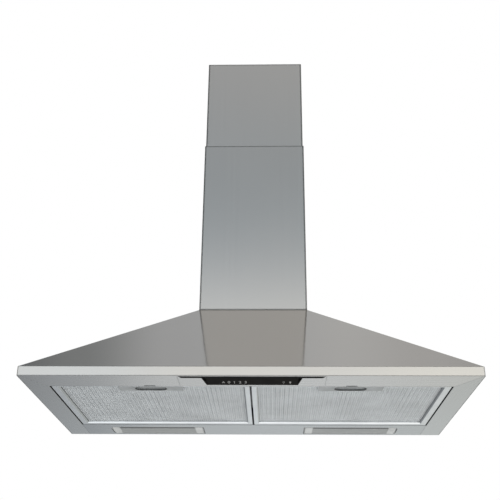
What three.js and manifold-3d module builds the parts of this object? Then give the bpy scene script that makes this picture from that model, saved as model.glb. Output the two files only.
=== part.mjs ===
// Wall-mounted chimney range hood, 900 mm class, in brushed stainless steel.
// Millimetres, +Z up, +X to the user's right. The wall is the plane Y = 0 and the user stands on the -Y side.
// Everything is drawn with Z = 0 at the underside of the rim. The finished hood is then let down so that
// the origin lies on the wall, midway between the two hanging keyholes.
import * as THREE from "three";
import { mergeVertices } from "three/addons/utils/BufferGeometryUtils.js";
import { ConvexGeometry } from "three/addons/geometries/ConvexGeometry.js";
import Module from "manifold-3d";

const wasm = await Module();
wasm.setup();

// ---------------------------------------------------------------- driving dimensions

// Sheet metal and fits
const SHEET = 1; // stainless sheet of the canopy, frame and chimney
const FIT = 0.3; // clearance between seated pieces
const MOULDING = 2; // wall of the moulded plastic pieces

// Canopy
const HOOD_WIDTH = 898;
const HOOD_DEPTH = 500;
const RIM_HEIGHT = 18.5;
const CANOPY_HEIGHT = 236; // rim underside to the flat top under the chimney
const RIM_CORNER = 3; // radius of the upright front corners
const CABLE_HOLE = 10; // radius of the mains cable's hole in the canopy top
const CABLE_X = 96;
const CABLE_Y = -38;

// Chimney
const CHIMNEY_WIDTH = 250;
const CHIMNEY_DEPTH = 235;
const LOWER_LENGTH = 444;
const UPPER_LENGTH = 390;
const UPPER_SHOWN = 256; // length of the upper cover in view at rest
const SLIDE_GAP = 1.25; // between the two covers
const CHIMNEY_BEND = 2; // outer radius of the covers' folded corners
const RETURN_FLANGE = 22; // rear edges folded inwards
const VENT_ROWS = 7;
const VENT_LENGTH = 90;
const VENT_HEIGHT = 4;
const VENT_PITCH = 10;
const VENT_TOP = 28; // top edge of the cover to the first vent
const FOOT_HEIGHT = 22;
const FOOT_WIDTH = 16;
const FOOT_LENGTH = 120;
const BRACKET_HEIGHT = 30;
const BRACKET_DEPTH = 18;
const BRACKET_SLOT_X = 70;
const BRACKET_SLOT_LENGTH = 24;
const BRACKET_SLOT_WIDTH = 6;

// Bottom frame
const FRAME_SIDE = 46; // width of the side strips
const FRAME_FRONT = 74; // depth of the front strip
const FRAME_FLANGE = 12; // upturned outer edges
const FRAME_HEM = 4; // upturned inner edges, below the latches' tongues
const LAMP_PANEL_DEPTH = 98; // wall to the front edge of the lamp panel

// Hanging
const HOOK_HEIGHT = 175; // rim underside to the hook line
const HOOK_SPACING = 260;
const HOOK_SLOT = 4; // half width of the keyhole's slot
const HOOK_HOLE = 7; // radius of the keyhole's round end
const HOOK_DROP = 18; // slot top to the centre of the round end
const BACK_FLANGE = 14;

// Grease filters
const FILTER_GAP = 4; // between the two filters
const FILTER_PLAY = 3.5; // round the filters' outer edges
const FILTER_HEIGHT = 10;
const FILTER_RAISE = 0.4; // filter underside above the rim underside
const FILTER_AXIS_Z = 1; // line that the filter tips about, at the lamp panel's front edge
const FILTER_SIDE = 15; // width of the outer side rail
const FILTER_INNER = 12; // width of the rail beside the other filter
const FILTER_END = 14; // depth of the rear rail
const FILTER_FRONT = 6; // depth of the front rail
const FILTER_LIP = 1; // wall of the latch's tray
const RAIL_BEVEL = 2.5; // slope along the lower inside edges of the rails
const MESH_GROOVE = 4; // how deep the rails take in the mesh
const MESH_RECESS = 5.5; // mesh face above the underside of the filter
const MESH_THICK = 1.2;
const MESH_RIPPLE = 1; // height of the mesh's ripples
const MESH_PITCH = 10;
const TAB_WIDTH = 26;
const TAB_INSET = 60; // filter edge to the centre of a tab
const TAB_REACH = 3; // tab beyond the panel's flange
const TAB_THICK = 1.5;
const TAB_Z = 7;
const TAB_SLOT = 8;

// Filter latch
const LATCH_LENGTH = 129;
const LATCH_DEPTH = 31;
const LATCH_HEIGHT = 8.4;
const LATCH_CUP_LENGTH = 64;
const LATCH_CUP_WIDTH = 22;
const LATCH_TRAVEL = 7;
const LATCH_BAR = 9; // width of the finger bar
const TONGUE_WIDTH = 20;
const TONGUE_THICK = 2;
const TONGUE_REACH = 3; // tongue beyond the hem of the front member
const TONGUE_ROOF = 1.4; // top of the latch to the top of the tongue
const BAR_INSET = 6; // end of the finger cup to the end of the bar
const BAR_RAISE = 1.2; // bar above the underside of the latch

// Lamps
const LENS_LENGTH = 219;
const LENS_WIDTH = 65;
const LENS_HEIGHT = 7;
const LENS_INNER_CORNER = 3; // radius at the end towards the middle
const LENS_OFFSET = 29; // middle of a filter to the middle of the lens behind it
const LENS_REAR = 9; // wall to the rear edge of a lens
const LENS_GAP = 1.2;
const LENS_WALL = 1.8;
const LENS_CORNER = 14; // radius at the outer end
const LENS_RIBS = 9;
const RIB_HEIGHT = 0.8;
const REFLECTOR_HEIGHT = 50;
const REFLECTOR_FLARE = 10;
const REFLECTOR_LIP = 5;
const BULB_RADIUS = 17.5;
const BULB_LENGTH = 98;
const BULB_Z = 29;
const BULB_CAP_RADIUS = 6.8;
const BULB_CAP_LENGTH = 22;
const SOCKET_RADIUS = 12;
const SOCKET_LENGTH = 34;
const SOCKET_BASE = 3;
const SOCKET_INSET = 6; // end of the lens to the outer end of the holder
const SOCKET_COLLAR = 3; // holder's collar beyond its barrel
const REFLECTOR_CORNER = 3;

// Controls
const CONTROL_X = 4; // middle of the hood to the middle of the controls
const PLATE_HALF = 144; // half width of the control plate
const PLATE_FRONT = 5; // front of the hood to the plate
const PLATE_DEPTH = 66;
const PLATE_SLIT = 1.8; // open line in front of the plate
const WINDOW_FRONT = 9; // front of the hood to the window
const WINDOW_DEPTH = 57;
const WINDOW_HALF_FRONT = 99;
const WINDOW_HALF_REAR = 90;
const HOUSING_HEIGHT = 13; // underside of the rim to the slider channel
const LABEL_DEPTH = 36; // the sloping label face
const CHANNEL_SLOT = 4;
const HOUSING_LIP = 5; // housing beyond the window, over the plate
const KNOB_LENGTH = 9;
const KNOB_WIDTH = 7;
const KNOB_HEIGHT = 7;
const KNOB_STEM = 3.2;
const GRIP_PITCH = 2.5; // between the ribs of a slider's cap
const GRIP_WIDTH = 1;
const GRIP_HEIGHT = 0.8;
const SHOE_HEIGHT = 2;
const FAN_KNOB_X = -46; // fan slider at position 0, from the middle of the controls
const FAN_STEP = 11;
const FAN_STEPS = 3;
const LAMP_KNOB_X = 62; // lamp slider at off
const LAMP_STEP = 13;
const BOARD_THICK = 1.6;
const BOARD_LIFT = 3; // slider shoe's room under the board
const SWITCH_MARGIN = 8; // switch body beyond its slider's travel
const SWITCH_HEIGHT = 7;
const BOARD_REACH = 20; // board beyond the first position of the fan slider
const BOARD_END = 14; // board beyond the last position of the lamp slider
const BOARD_DEPTH = 18;
const BOARD_POST = 4;

// Blower
const BLOWER_Y = -166; // impeller axis
const BLOWER_Z = 120;
const IMPELLER_RADIUS = 74;
const BLADE_DEPTH = 12;
const IMPELLER_WIDTH = 104;
const BLADES = 28;
const BLADE_THICK = 1.2;
const BLADE_CURVE = 0.16; // turn of a blade from its inner to its outer edge, in radians
const RING_WIDTH = 13;
const RING_SIDES = 36;
const RING_THICK = 2;
const HUB_RADIUS = 15;
const HUB_LENGTH = 22;
const SHAFT_RADIUS = 4;
const SCROLL_CLEARANCE = 5; // impeller to the cut-off of the scroll
const SCROLL_GROWTH = 18; // further opening of the spiral
const SCROLL_WIDTH = 126;
const SCROLL_WALL = 1.5;
const OUTLET_DEPTH = 92;
const INLET_RADIUS = 60;
const INLET_LIP = 5;
const INLET_WALL = 4;
const SCROLL_FLANGE = 9;
const MOTOR_RADIUS = 40;
const MOTOR_LENGTH = 40;
const MOTOR_SHOULDER = 6;
const MOTOR_GAP = 3; // motor to the impeller's disc
const SHAFT_DEPTH = 26; // shaft inside the motor
const SPIDER_RADIUS = 20;
const SPIDER_ARMS = 3;
const SPIDER_ARM_WIDTH = 9;
const SPIDER_THICK = 4;

// Outlet collar and damper
const COLLAR_RADIUS = 75; // outside of the spigot
const COLLAR_Y = -117;
const COLLAR_HEIGHT = 62;
const COLLAR_WALL = 2;
const COLLAR_FLANGE = 8;
const SPINDLE_RADIUS = 2;
const SPINDLE_Z = 26; // above the canopy top
const LEDGE_HALF = 12; // half length of the ledges that the closed flaps rest on
const FLAP_GAP = 1.6;
const FLAP_THICK = 1.2;
const KNUCKLES = 4; // of both flaps together
const KNUCKLE_RADIUS = 4;
const KNUCKLE_LENGTH = 32;
const KNUCKLE_PLAY = 1.4;

// Electrics
const BOX_X = 108;
const BOX_WIDTH = 104;
const BOX_HEIGHT = 78;
const BOX_DEPTH = 44;
const BOX_Z = 66;
const WIRE_ENTRY_X = 20; // side of the box to the middle of the wires' hole
const WIRE_ENTRY = 5; // radius of the wires' hole
const TERMINAL_LENGTH = 46;
const TERMINAL_POLES = 4;
const TERMINAL_HEIGHT = 20;
const TERMINAL_DEPTH = 16;
const TERMINAL_DROP = 14; // top of the box to the terminal block
const CAPACITOR_RADIUS = 13;
const CAPACITOR_LENGTH = 56;
const GLAND_HEIGHT = 18;
const GLAND_BORE = 4.2;
const GLAND_RADIUS = 9;
const GLAND_NUT = 15; // corner radius of the nut
const GLAND_NUT_HEIGHT = 7;

// ---------------------------------------------------------------- derived places

const HALF = HOOD_WIDTH / 2;
const RISE = CANOPY_HEIGHT - RIM_HEIGHT;
const SIDE_RUN = HALF - CHIMNEY_WIDTH / 2;
const FRONT_RUN = HOOD_DEPTH - CHIMNEY_DEPTH;
const OPENING_HALF = HALF - FRAME_SIDE; // filter opening
const OPENING_FRONT = -HOOD_DEPTH + FRAME_FRONT;
const PANEL_FRONT = -LAMP_PANEL_DEPTH;
const INSIDE_WALL = -SHEET - FIT; // rear of what seats against the back panel
const FILTER_FRONT_Y = OPENING_FRONT + FILTER_PLAY;
const FILTER_REAR_Y = PANEL_FRONT - FILTER_PLAY;
const FILTER_WIDTH = OPENING_HALF - FILTER_PLAY - FILTER_GAP / 2;
const FILTER_AXIS_Y = PANEL_FRONT + SHEET / 2;
const FILTER_CENTRE = (FILTER_GAP + FILTER_WIDTH) / 2;
const LENS_CENTRE = FILTER_CENTRE + LENS_OFFSET;
const CANOPY_TOP = CANOPY_HEIGHT + FIT; // what stands on the canopy

// ---------------------------------------------------------------- solid helpers

const AXIS_X = new THREE.Vector3(1, 0, 0);
const AXIS_Y = new THREE.Vector3(0, 1, 0);
const AXIS_Z = new THREE.Vector3(0, 0, 1);

// A closed three.js geometry as a solid that can be joined and cut.
function solid(geometry) {
  const bare = geometry.clone();
  bare.deleteAttribute("normal");
  bare.deleteAttribute("uv");
  const merged = mergeVertices(bare, 1e-4);
  return new wasm.Manifold(
    new wasm.Mesh({
      numProp: 3,
      vertProperties: merged.attributes.position.array,
      triVerts: new Uint32Array(merged.index.array),
    }),
  );
}

function join(...solids) {
  return solids.reduce((sum, one) => sum.add(one));
}

function cut(body, ...tools) {
  return tools.reduce((left, tool) => left.subtract(tool), body);
}

// The solid as a flat-shaded geometry.
function geometryOf(made) {
  const mesh = made.getMesh();
  const geometry = new THREE.BufferGeometry();
  geometry.setAttribute("position", new THREE.BufferAttribute(mesh.vertProperties, 3));
  geometry.setIndex(new THREE.BufferAttribute(mesh.triVerts, 1));
  const flat = geometry.toNonIndexed();
  flat.computeVertexNormals();
  return flat;
}

function block(x0, x1, y0, y1, z0, z1) {
  const geometry = new THREE.BoxGeometry(x1 - x0, y1 - y0, z1 - z0);
  geometry.translate((x0 + x1) / 2, (y0 + y1) / 2, (z0 + z1) / 2);
  return solid(geometry);
}

// A shape drawn in the plane of across and up, swept from start to end along the third axis.
function prism(shape, across, up, start, end, curveSegments = 6) {
  const along = new THREE.Vector3().crossVectors(across, up);
  const geometry = new THREE.ExtrudeGeometry(shape, {
    depth: end - start,
    bevelEnabled: false,
    curveSegments,
  });
  geometry.translate(0, 0, start);
  geometry.applyMatrix4(new THREE.Matrix4().makeBasis(across, up, along));
  return solid(geometry);
}

// Drawn in X and Y, swept up.
function upright(shape, z0, z1, curveSegments) {
  return prism(shape, AXIS_X, AXIS_Y, z0, z1, curveSegments);
}

// Drawn in Y and Z, swept sideways.
function sideways(shape, x0, x1, curveSegments) {
  return prism(shape, AXIS_Y, AXIS_Z, x0, x1, curveSegments);
}

// Drawn in X and Z, swept from front y0 to rear y1.
function rearwards(shape, y0, y1, curveSegments) {
  return prism(shape, AXIS_X, AXIS_Z, -y1, -y0, curveSegments);
}

function rod(radius, start, end, sides = 24) {
  const from = new THREE.Vector3(...start);
  const span = new THREE.Vector3(...end).sub(from);
  const geometry = new THREE.CylinderGeometry(radius, radius, span.length(), sides);
  geometry.translate(0, span.length() / 2, 0);
  geometry.applyQuaternion(
    new THREE.Quaternion().setFromUnitVectors(AXIS_Y, span.clone().normalize()),
  );
  geometry.translate(from.x, from.y, from.z);
  return solid(geometry);
}

// A profile of [radius, height] pairs, from axis to axis, turned about Z.
function turned(profile, sides = 32) {
  const points = profile.map(([radius, height]) => new THREE.Vector2(radius, height));
  const geometry = new THREE.LatheGeometry(points, sides);
  geometry.rotateX(Math.PI / 2);
  return solid(geometry);
}

function polygon(points) {
  return new THREE.Shape(points.map(([x, y]) => new THREE.Vector2(x, y)));
}

// A rectangle whose corners have the radii [x0y0, x1y0, x1y1, x0y1].
function rectangle(x0, x1, y0, y1, radii = [0, 0, 0, 0]) {
  const [a, b, c, d] = radii;
  const shape = new THREE.Shape();
  shape.moveTo(x0 + a, y0);
  shape.lineTo(x1 - b, y0);
  if (b) shape.absarc(x1 - b, y0 + b, b, -Math.PI / 2, 0);
  shape.lineTo(x1, y1 - c);
  if (c) shape.absarc(x1 - c, y1 - c, c, 0, Math.PI / 2);
  shape.lineTo(x0 + d, y1);
  if (d) shape.absarc(x0 + d, y1 - d, d, Math.PI / 2, Math.PI);
  shape.lineTo(x0, y0 + a);
  if (a) shape.absarc(x0 + a, y0 + a, a, Math.PI, Math.PI * 1.5);
  return shape;
}

function disc(x, y, radius) {
  const shape = new THREE.Shape();
  shape.absarc(x, y, radius, 0, Math.PI * 2);
  return shape;
}

// A long hole with round ends, its length along X.
function stadium(x, y, length, width) {
  const end = width / 2;
  return rectangle(x - length / 2, x + length / 2, y - end, y + end, [end, end, end, end]);
}

// The hull of two level outlines, each a shape at its own height.
function loft(lower, z0, upper, z1) {
  const ring = (shape, z) => shape.getPoints(3).map((p) => new THREE.Vector3(p.x, p.y, z));
  return solid(new ConvexGeometry([...ring(lower, z0), ...ring(upper, z1)]));
}

function moved(body, x, y, z) {
  return body.translate([x, y, z]);
}

// ---------------------------------------------------------------- materials and scene graph

function paint(color, roughness, metalness) {
  return () => new THREE.MeshStandardMaterial({ color, roughness, metalness });
}

const stainless = paint(0xb9bab7, 0.32, 1);
const zincSheet = paint(0xa9adb0, 0.5, 0.9);
const aluminium = paint(0xc3c6c8, 0.38, 1);
const blackPlastic = paint(0x17161a, 0.3, 0);
const darkPlastic = paint(0x2b2c2f, 0.6, 0);
const greyPlastic = paint(0x8d9294, 0.5, 0);
const whitePlastic = paint(0xe6e4dc, 0.5, 0);
const frosted = paint(0xdfe3e2, 0.35, 0);
const glass = paint(0xf1efe8, 0.2, 0);
const boardGreen = paint(0x2f5a3a, 0.6, 0);

function piece(name, body, material) {
  const mesh = new THREE.Mesh(geometryOf(body), material());
  mesh.name = name;
  return mesh;
}

function assembly(x, y, z, ...children) {
  const group = new THREE.Group();
  group.position.set(x, y, z);
  group.add(...children);
  return group;
}

// ---------------------------------------------------------------- canopy

// How far a sheet of the given thickness reaches inwards, level, on a slope with this run.
function levelThickness(run, thickness) {
  return (thickness * Math.hypot(run, RISE)) / RISE;
}

// The level outline of the canopy at height z, drawn in by the sheet thickness given.
function canopyOutline(z, thickness, corner, rear) {
  const share = (z - RIM_HEIGHT) / RISE;
  const half = HALF - levelThickness(SIDE_RUN, thickness) - SIDE_RUN * share;
  const front = -HOOD_DEPTH + levelThickness(FRONT_RUN, thickness) + FRONT_RUN * share;
  return rectangle(-half, half, front, rear, [corner, corner, 0, 0]);
}

function canopyShell() {
  const rim = rectangle(-HALF, HALF, -HOOD_DEPTH, 0, [RIM_CORNER, RIM_CORNER, 0, 0]);
  const rimInner = rectangle(-HALF + SHEET, HALF - SHEET, -HOOD_DEPTH + SHEET, SHEET);
  const ceiling = CANOPY_HEIGHT - SHEET;
  return cut(
    join(
      upright(rim, 0, RIM_HEIGHT, 3),
      loft(
        canopyOutline(RIM_HEIGHT, 0, RIM_CORNER, 0),
        RIM_HEIGHT,
        canopyOutline(CANOPY_HEIGHT, 0, CHIMNEY_BEND, 0),
        CANOPY_HEIGHT,
      ),
    ),
    upright(rimInner, -SHEET, RIM_HEIGHT),
    loft(
      canopyOutline(RIM_HEIGHT - FIT, SHEET, RIM_CORNER, SHEET),
      RIM_HEIGHT - FIT,
      canopyOutline(ceiling, SHEET, CHIMNEY_BEND, SHEET),
      ceiling,
    ),
    upright(disc(0, COLLAR_Y, COLLAR_RADIUS), ceiling - SHEET, CANOPY_TOP, 10),
    rod(CABLE_HOLE, [CABLE_X, CABLE_Y, ceiling - SHEET], [CABLE_X, CABLE_Y, CANOPY_TOP], 16),
  );
}

// Rear closing sheet: a shallow tray whose edges lie inside the canopy's slopes and top.
function backOutline(inset) {
  const rise = CANOPY_HEIGHT - SHEET - FIT - inset;
  const half = (z) => {
    const slope = HALF - SIDE_RUN * ((z - RIM_HEIGHT) / RISE);
    return slope - levelThickness(SIDE_RUN, SHEET + FIT + inset);
  };
  const rimHalf = HALF - levelThickness(SIDE_RUN, SHEET + FIT + inset);
  return [
    [-rimHalf, 0],
    [rimHalf, 0],
    [rimHalf, RIM_HEIGHT],
    [half(rise), rise],
    [-half(rise), rise],
    [-rimHalf, RIM_HEIGHT],
  ];
}

// A keyhole: a slot that the hook slides up into, over a round end.
function keyhole(x) {
  const drop = HOOK_HEIGHT - HOOK_DROP;
  return join(
    rod(HOOK_HOLE, [x, -BACK_FLANGE, drop], [x, SHEET, drop], 20),
    rod(HOOK_SLOT, [x, -BACK_FLANGE, HOOK_HEIGHT], [x, SHEET, HOOK_HEIGHT], 16),
    block(x - HOOK_SLOT, x + HOOK_SLOT, -BACK_FLANGE, SHEET, drop, HOOK_HEIGHT),
  );
}

function backPanel() {
  const inner = backOutline(SHEET);
  inner[0][1] = -SHEET;
  inner[1][1] = -SHEET;
  return cut(
    rearwards(polygon(backOutline(0)), -BACK_FLANGE, 0),
    rearwards(polygon(inner), -BACK_FLANGE - SHEET, -SHEET),
    block(-HOOD_WIDTH, HOOD_WIDTH, -BACK_FLANGE - SHEET, -SHEET, -SHEET, FRAME_FLANGE + FIT),
    keyhole(-HOOK_SPACING / 2),
    keyhole(HOOK_SPACING / 2),
  );
}

// ---------------------------------------------------------------- bottom frame and lamp panel

// The latch tongue's open notch in the inner edge of the front strip.
function latchNotch(x) {
  const half = TONGUE_WIDTH / 2 + 1;
  const front = OPENING_FRONT - SHEET - TONGUE_REACH - 1;
  return block(x - half, x + half, front, OPENING_FRONT + SHEET, -SHEET, FRAME_FLANGE + SHEET);
}

const FRAME_OUTER = HALF - SHEET - FIT;
const FRAME_NOSE = -HOOD_DEPTH + SHEET + FIT;

// The plate round the filters before it is divided, its outer edges turned up and its inner edges hemmed.
function frameBlank() {
  const inner = FRAME_OUTER - SHEET;
  const reach = OPENING_HALF + SHEET;
  const tray = cut(
    block(-FRAME_OUTER, FRAME_OUTER, FRAME_NOSE, INSIDE_WALL, 0, FRAME_FLANGE),
    block(-inner, inner, FRAME_NOSE + SHEET, INSIDE_WALL - SHEET, SHEET, FRAME_FLANGE + 1),
  );
  return cut(
    join(tray, block(-reach, reach, OPENING_FRONT - SHEET, INSIDE_WALL, 0, FRAME_HEM)),
    block(-OPENING_HALF, OPENING_HALF, OPENING_FRONT, SHEET, -SHEET, FRAME_FLANGE + SHEET),
  );
}

// The ground that the front member covers. Its mitres run from the outer to the inner corners of the frame,
// and grow moves them outwards, square to themselves.
function frontGround(grow) {
  const slope = (FRAME_OUTER - OPENING_HALF) / (OPENING_FRONT - FRAME_NOSE);
  const mitre = (y) => FRAME_OUTER - slope * (y - FRAME_NOSE) + grow * Math.hypot(1, slope);
  const y0 = FRAME_NOSE - SHEET;
  const y1 = OPENING_FRONT + SHEET;
  const ground = polygon([
    [-mitre(y0), y0],
    [mitre(y0), y0],
    [mitre(y1), y1],
    [-mitre(y1), y1],
  ]);
  return upright(ground, -SHEET, FRAME_FLANGE + SHEET);
}

// Front member, open for the control plate and for the two latch tongues.
function frameFront() {
  const plateFront = -HOOD_DEPTH + PLATE_FRONT;
  const plateRear = plateFront + PLATE_DEPTH;
  return cut(
    frameBlank().intersect(frontGround(-FIT / 2)),
    block(
      CONTROL_X - PLATE_HALF,
      CONTROL_X + PLATE_HALF,
      plateFront - PLATE_SLIT,
      plateRear + FIT,
      -SHEET,
      FRAME_FLANGE / 2,
    ),
    latchNotch(-FILTER_CENTRE),
    latchNotch(FILTER_CENTRE),
  );
}

function frameSide(side) {
  const half = block(-HOOD_WIDTH, 0, -HOOD_DEPTH, 0, -SHEET, FRAME_FLANGE + SHEET);
  return mirrored(cut(frameBlank(), frontGround(FIT / 2)).intersect(half), side);
}

function lensOutline(grow) {
  const half = LENS_LENGTH / 2 + grow;
  const front = -LENS_WIDTH - grow;
  const outer = LENS_CORNER + grow;
  return rectangle(-half, half, front, grow, [outer, LENS_INNER_CORNER, LENS_INNER_CORNER, outer]);
}

// side -1 is the left lamp, whose rounded end is on the left; side 1 is turned the other way.
function mirrored(body, side) {
  return side < 0 ? body : body.mirror([1, 0, 0]);
}

function tabSlot(x) {
  const half = TAB_WIDTH / 2 + 1;
  const front = PANEL_FRONT - SHEET;
  const low = TAB_Z - TAB_SLOT / 2;
  return block(x - half, x + half, front, PANEL_FRONT + 2 * SHEET, low, low + TAB_SLOT);
}

// Rear panel that carries the lamps. Its front flange has slots for the filters' tabs.
function lampPanel() {
  const half = OPENING_HALF - FIT;
  const top = TAB_Z + TAB_SLOT / 2 + 3;
  const hole = (side) =>
    moved(
      mirrored(upright(lensOutline(LENS_GAP), -SHEET, 2 * SHEET, 4), side),
      side * LENS_CENTRE,
      -LENS_REAR,
      0,
    );
  const tabs = [-1, 1].flatMap((side) =>
    [FILTER_GAP / 2 + TAB_INSET, FILTER_GAP / 2 + FILTER_WIDTH - TAB_INSET].map((x) => tabSlot(side * x)),
  );
  return cut(
    block(-half, half, PANEL_FRONT, INSIDE_WALL, 0, top),
    block(-half + SHEET, half - SHEET, PANEL_FRONT + SHEET, INSIDE_WALL - SHEET, SHEET, top + SHEET),
    hole(-1),
    hole(1),
    ...tabs,
  );
}

// ---------------------------------------------------------------- chimney covers

// A folded cover: front and two sides, with the rear edges turned in towards each other.
function coverSection(width, depth, length) {
  const half = width / 2;
  const bend = CHIMNEY_BEND;
  const inner = half - SHEET;
  return cut(
    upright(rectangle(-half, half, -depth, 0, [bend, bend, bend, bend]), 0, length, 3),
    upright(rectangle(-inner, inner, -depth + SHEET, -SHEET), -1, length + 1),
    block(-half + RETURN_FLANGE, half - RETURN_FLANGE, -2 * SHEET, SHEET, -1, length + 1),
  );
}

const UPPER_WIDTH = CHIMNEY_WIDTH - 2 * (SHEET + SLIDE_GAP);
const UPPER_DEPTH = CHIMNEY_DEPTH - 2 * (SHEET + SLIDE_GAP);
const UPPER_REAR = -SHEET - SLIDE_GAP;

// Vents of the upper cover, for use without a duct. They lie in both sides near the top.
function chimneyUpper() {
  const half = UPPER_WIDTH / 2;
  const middle = -UPPER_DEPTH / 2;
  const vents = Array.from({ length: VENT_ROWS }, (_, row) => {
    const top = UPPER_LENGTH - VENT_TOP - row * VENT_PITCH;
    const y0 = middle - VENT_LENGTH / 2;
    return block(-half - 1, half + 1, y0, y0 + VENT_LENGTH, top - VENT_HEIGHT, top);
  });
  return cut(coverSection(UPPER_WIDTH, UPPER_DEPTH, UPPER_LENGTH), ...vents);
}

// Angle that ties the lower cover to the canopy top, one on each side.
function chimneyFoot() {
  const half = FOOT_LENGTH / 2;
  return join(
    block(0, SHEET, -half, half, 0, FOOT_HEIGHT),
    block(0, FOOT_WIDTH, -half, half, 0, SHEET),
  );
}

// Wall bracket in the head of the upper cover, drawn from the cover's rear face. Its web lies on the wall
// between the turned-in edges. Its wings pass in front of them, and its ends turn forwards along the sides.
function chimneyBracket() {
  const half = UPPER_WIDTH / 2 - SHEET - FIT;
  const web = UPPER_WIDTH / 2 - RETURN_FLANGE - FIT;
  const wall = -UPPER_REAR;
  const wing = -SHEET - FIT;
  const right = [
    [web, wall],
    [web, wing],
    [half, wing],
    [half, -BRACKET_DEPTH],
    [half - SHEET, -BRACKET_DEPTH],
    [half - SHEET, wing - SHEET],
    [web - SHEET, wing - SHEET],
    [web - SHEET, wall - SHEET],
  ];
  const left = right.map(([x, y]) => [-x, y]).reverse();
  const slot = (x) => {
    const outline = stadium(x, BRACKET_HEIGHT / 2, BRACKET_SLOT_LENGTH, BRACKET_SLOT_WIDTH);
    return rearwards(outline, wall - 2 * SHEET, wall + SHEET, 2);
  };
  return cut(
    upright(polygon([...right, ...left]), 0, BRACKET_HEIGHT),
    slot(-BRACKET_SLOT_X),
    slot(BRACKET_SLOT_X),
  );
}

// ---------------------------------------------------------------- grease filters

// Drawn with the line it tips about at the origin, the filter's middle at X = 0 and its front towards -Y.
const FILTER_BASE = FILTER_RAISE - FILTER_AXIS_Z;
const TAB_LEVEL = TAB_Z - FILTER_AXIS_Z;
const FILTER_REAR = FILTER_REAR_Y - FILTER_AXIS_Y;
const FILTER_FORE = FILTER_FRONT_Y - FILTER_AXIS_Y;
const MESH_REAR = FILTER_REAR - FILTER_END;
const MESH_FORE = FILTER_FORE + FILTER_FRONT;

// outward is -1 where the wide side rail is on the left.
function meshEdges(outward) {
  const rails = outward < 0 ? [FILTER_SIDE, FILTER_INNER] : [FILTER_INNER, FILTER_SIDE];
  return [-FILTER_WIDTH / 2 + rails[0], FILTER_WIDTH / 2 - rails[1]];
}

// The latch's tray in the middle of the front rail, drawn larger all round by grow.
function latchTray(grow) {
  const half = LATCH_LENGTH / 2 + FIT + FILTER_LIP + grow;
  const rear = FILTER_FORE + LATCH_DEPTH + 2 * (FILTER_LIP + FIT) + grow;
  return block(-half, half, FILTER_FORE - 1, rear, FILTER_BASE - 1, FILTER_BASE + FILTER_HEIGHT + 1);
}

// The space inside the rails, with its sloping lower edges and the groove for the mesh.
function meshOpening(outward) {
  const [x0, x1] = meshEdges(outward);
  const outline = (grow) => rectangle(x0 - grow, x1 + grow, MESH_FORE - grow, MESH_REAR + grow);
  const seat = FILTER_BASE + MESH_RECESS - FIT;
  const space = join(
    upright(outline(0), FILTER_BASE - 1, FILTER_BASE + FILTER_HEIGHT + 1),
    upright(outline(MESH_GROOVE), seat, seat + MESH_THICK + MESH_RIPPLE + 2 * FIT),
    loft(outline(RAIL_BEVEL + SHEET), FILTER_BASE - SHEET, outline(0), FILTER_BASE + RAIL_BEVEL),
  );
  return cut(space, latchTray(0));
}

// Folded rails round the mesh, with a tray for the latch in front and two tabs behind.
function filterFrame(outward) {
  const half = FILTER_WIDTH / 2;
  const top = FILTER_BASE + FILTER_HEIGHT;
  const pocket = LATCH_LENGTH / 2 + FIT;
  const pocketFront = FILTER_FORE + FILTER_LIP;
  const pocketRear = pocketFront + LATCH_DEPTH + 2 * FIT;
  const tongue = TONGUE_WIDTH / 2 + FIT;
  const tongueZ = latchTongueZ();
  const tab = (x) => {
    const low = TAB_LEVEL - TAB_THICK / 2;
    return block(x - TAB_WIDTH / 2, x + TAB_WIDTH / 2, FILTER_REAR - 1, TAB_REACH, low, low + TAB_THICK);
  };
  return cut(
    join(
      upright(rectangle(-half, half, FILTER_FORE, FILTER_REAR, [2, 2, 2, 2]), FILTER_BASE, top, 2),
      tab(-half + TAB_INSET),
      tab(half - TAB_INSET),
    ),
    meshOpening(outward),
    block(-pocket, pocket, pocketFront, pocketRear, FILTER_BASE - 1, top - SHEET),
    block(-tongue, tongue, FILTER_FORE - 1, pocketFront + 1, tongueZ - FIT, tongueZ + TONGUE_THICK + FIT),
  );
}

function latchTongueZ() {
  return FILTER_BASE + LATCH_HEIGHT - TONGUE_THICK - TONGUE_ROOF;
}

// Rippled expanded-metal sheet in the groove of the rails, its ripples running front to back.
function filterMesh(outward) {
  const [x0, x1] = meshEdges(outward);
  const inside = MESH_GROOVE - FIT;
  const start = x0 - inside;
  const end = x1 + inside;
  const base = FILTER_BASE + MESH_RECESS;
  const ripples = Math.max(2, Math.round((end - start) / MESH_PITCH));
  const step = (end - start) / (2 * ripples);
  const lower = [];
  const upper = [];
  for (let i = 0; i <= 2 * ripples; i += 1) {
    const lift = i % 2 ? MESH_RIPPLE : 0;
    lower.push([start + i * step, base + lift]);
    upper.unshift([start + i * step, base + lift + MESH_THICK]);
  }
  const sheet = rearwards(polygon([...lower, ...upper]), MESH_FORE - inside, MESH_REAR + inside);
  return cut(sheet, latchTray(FIT));
}

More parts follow.
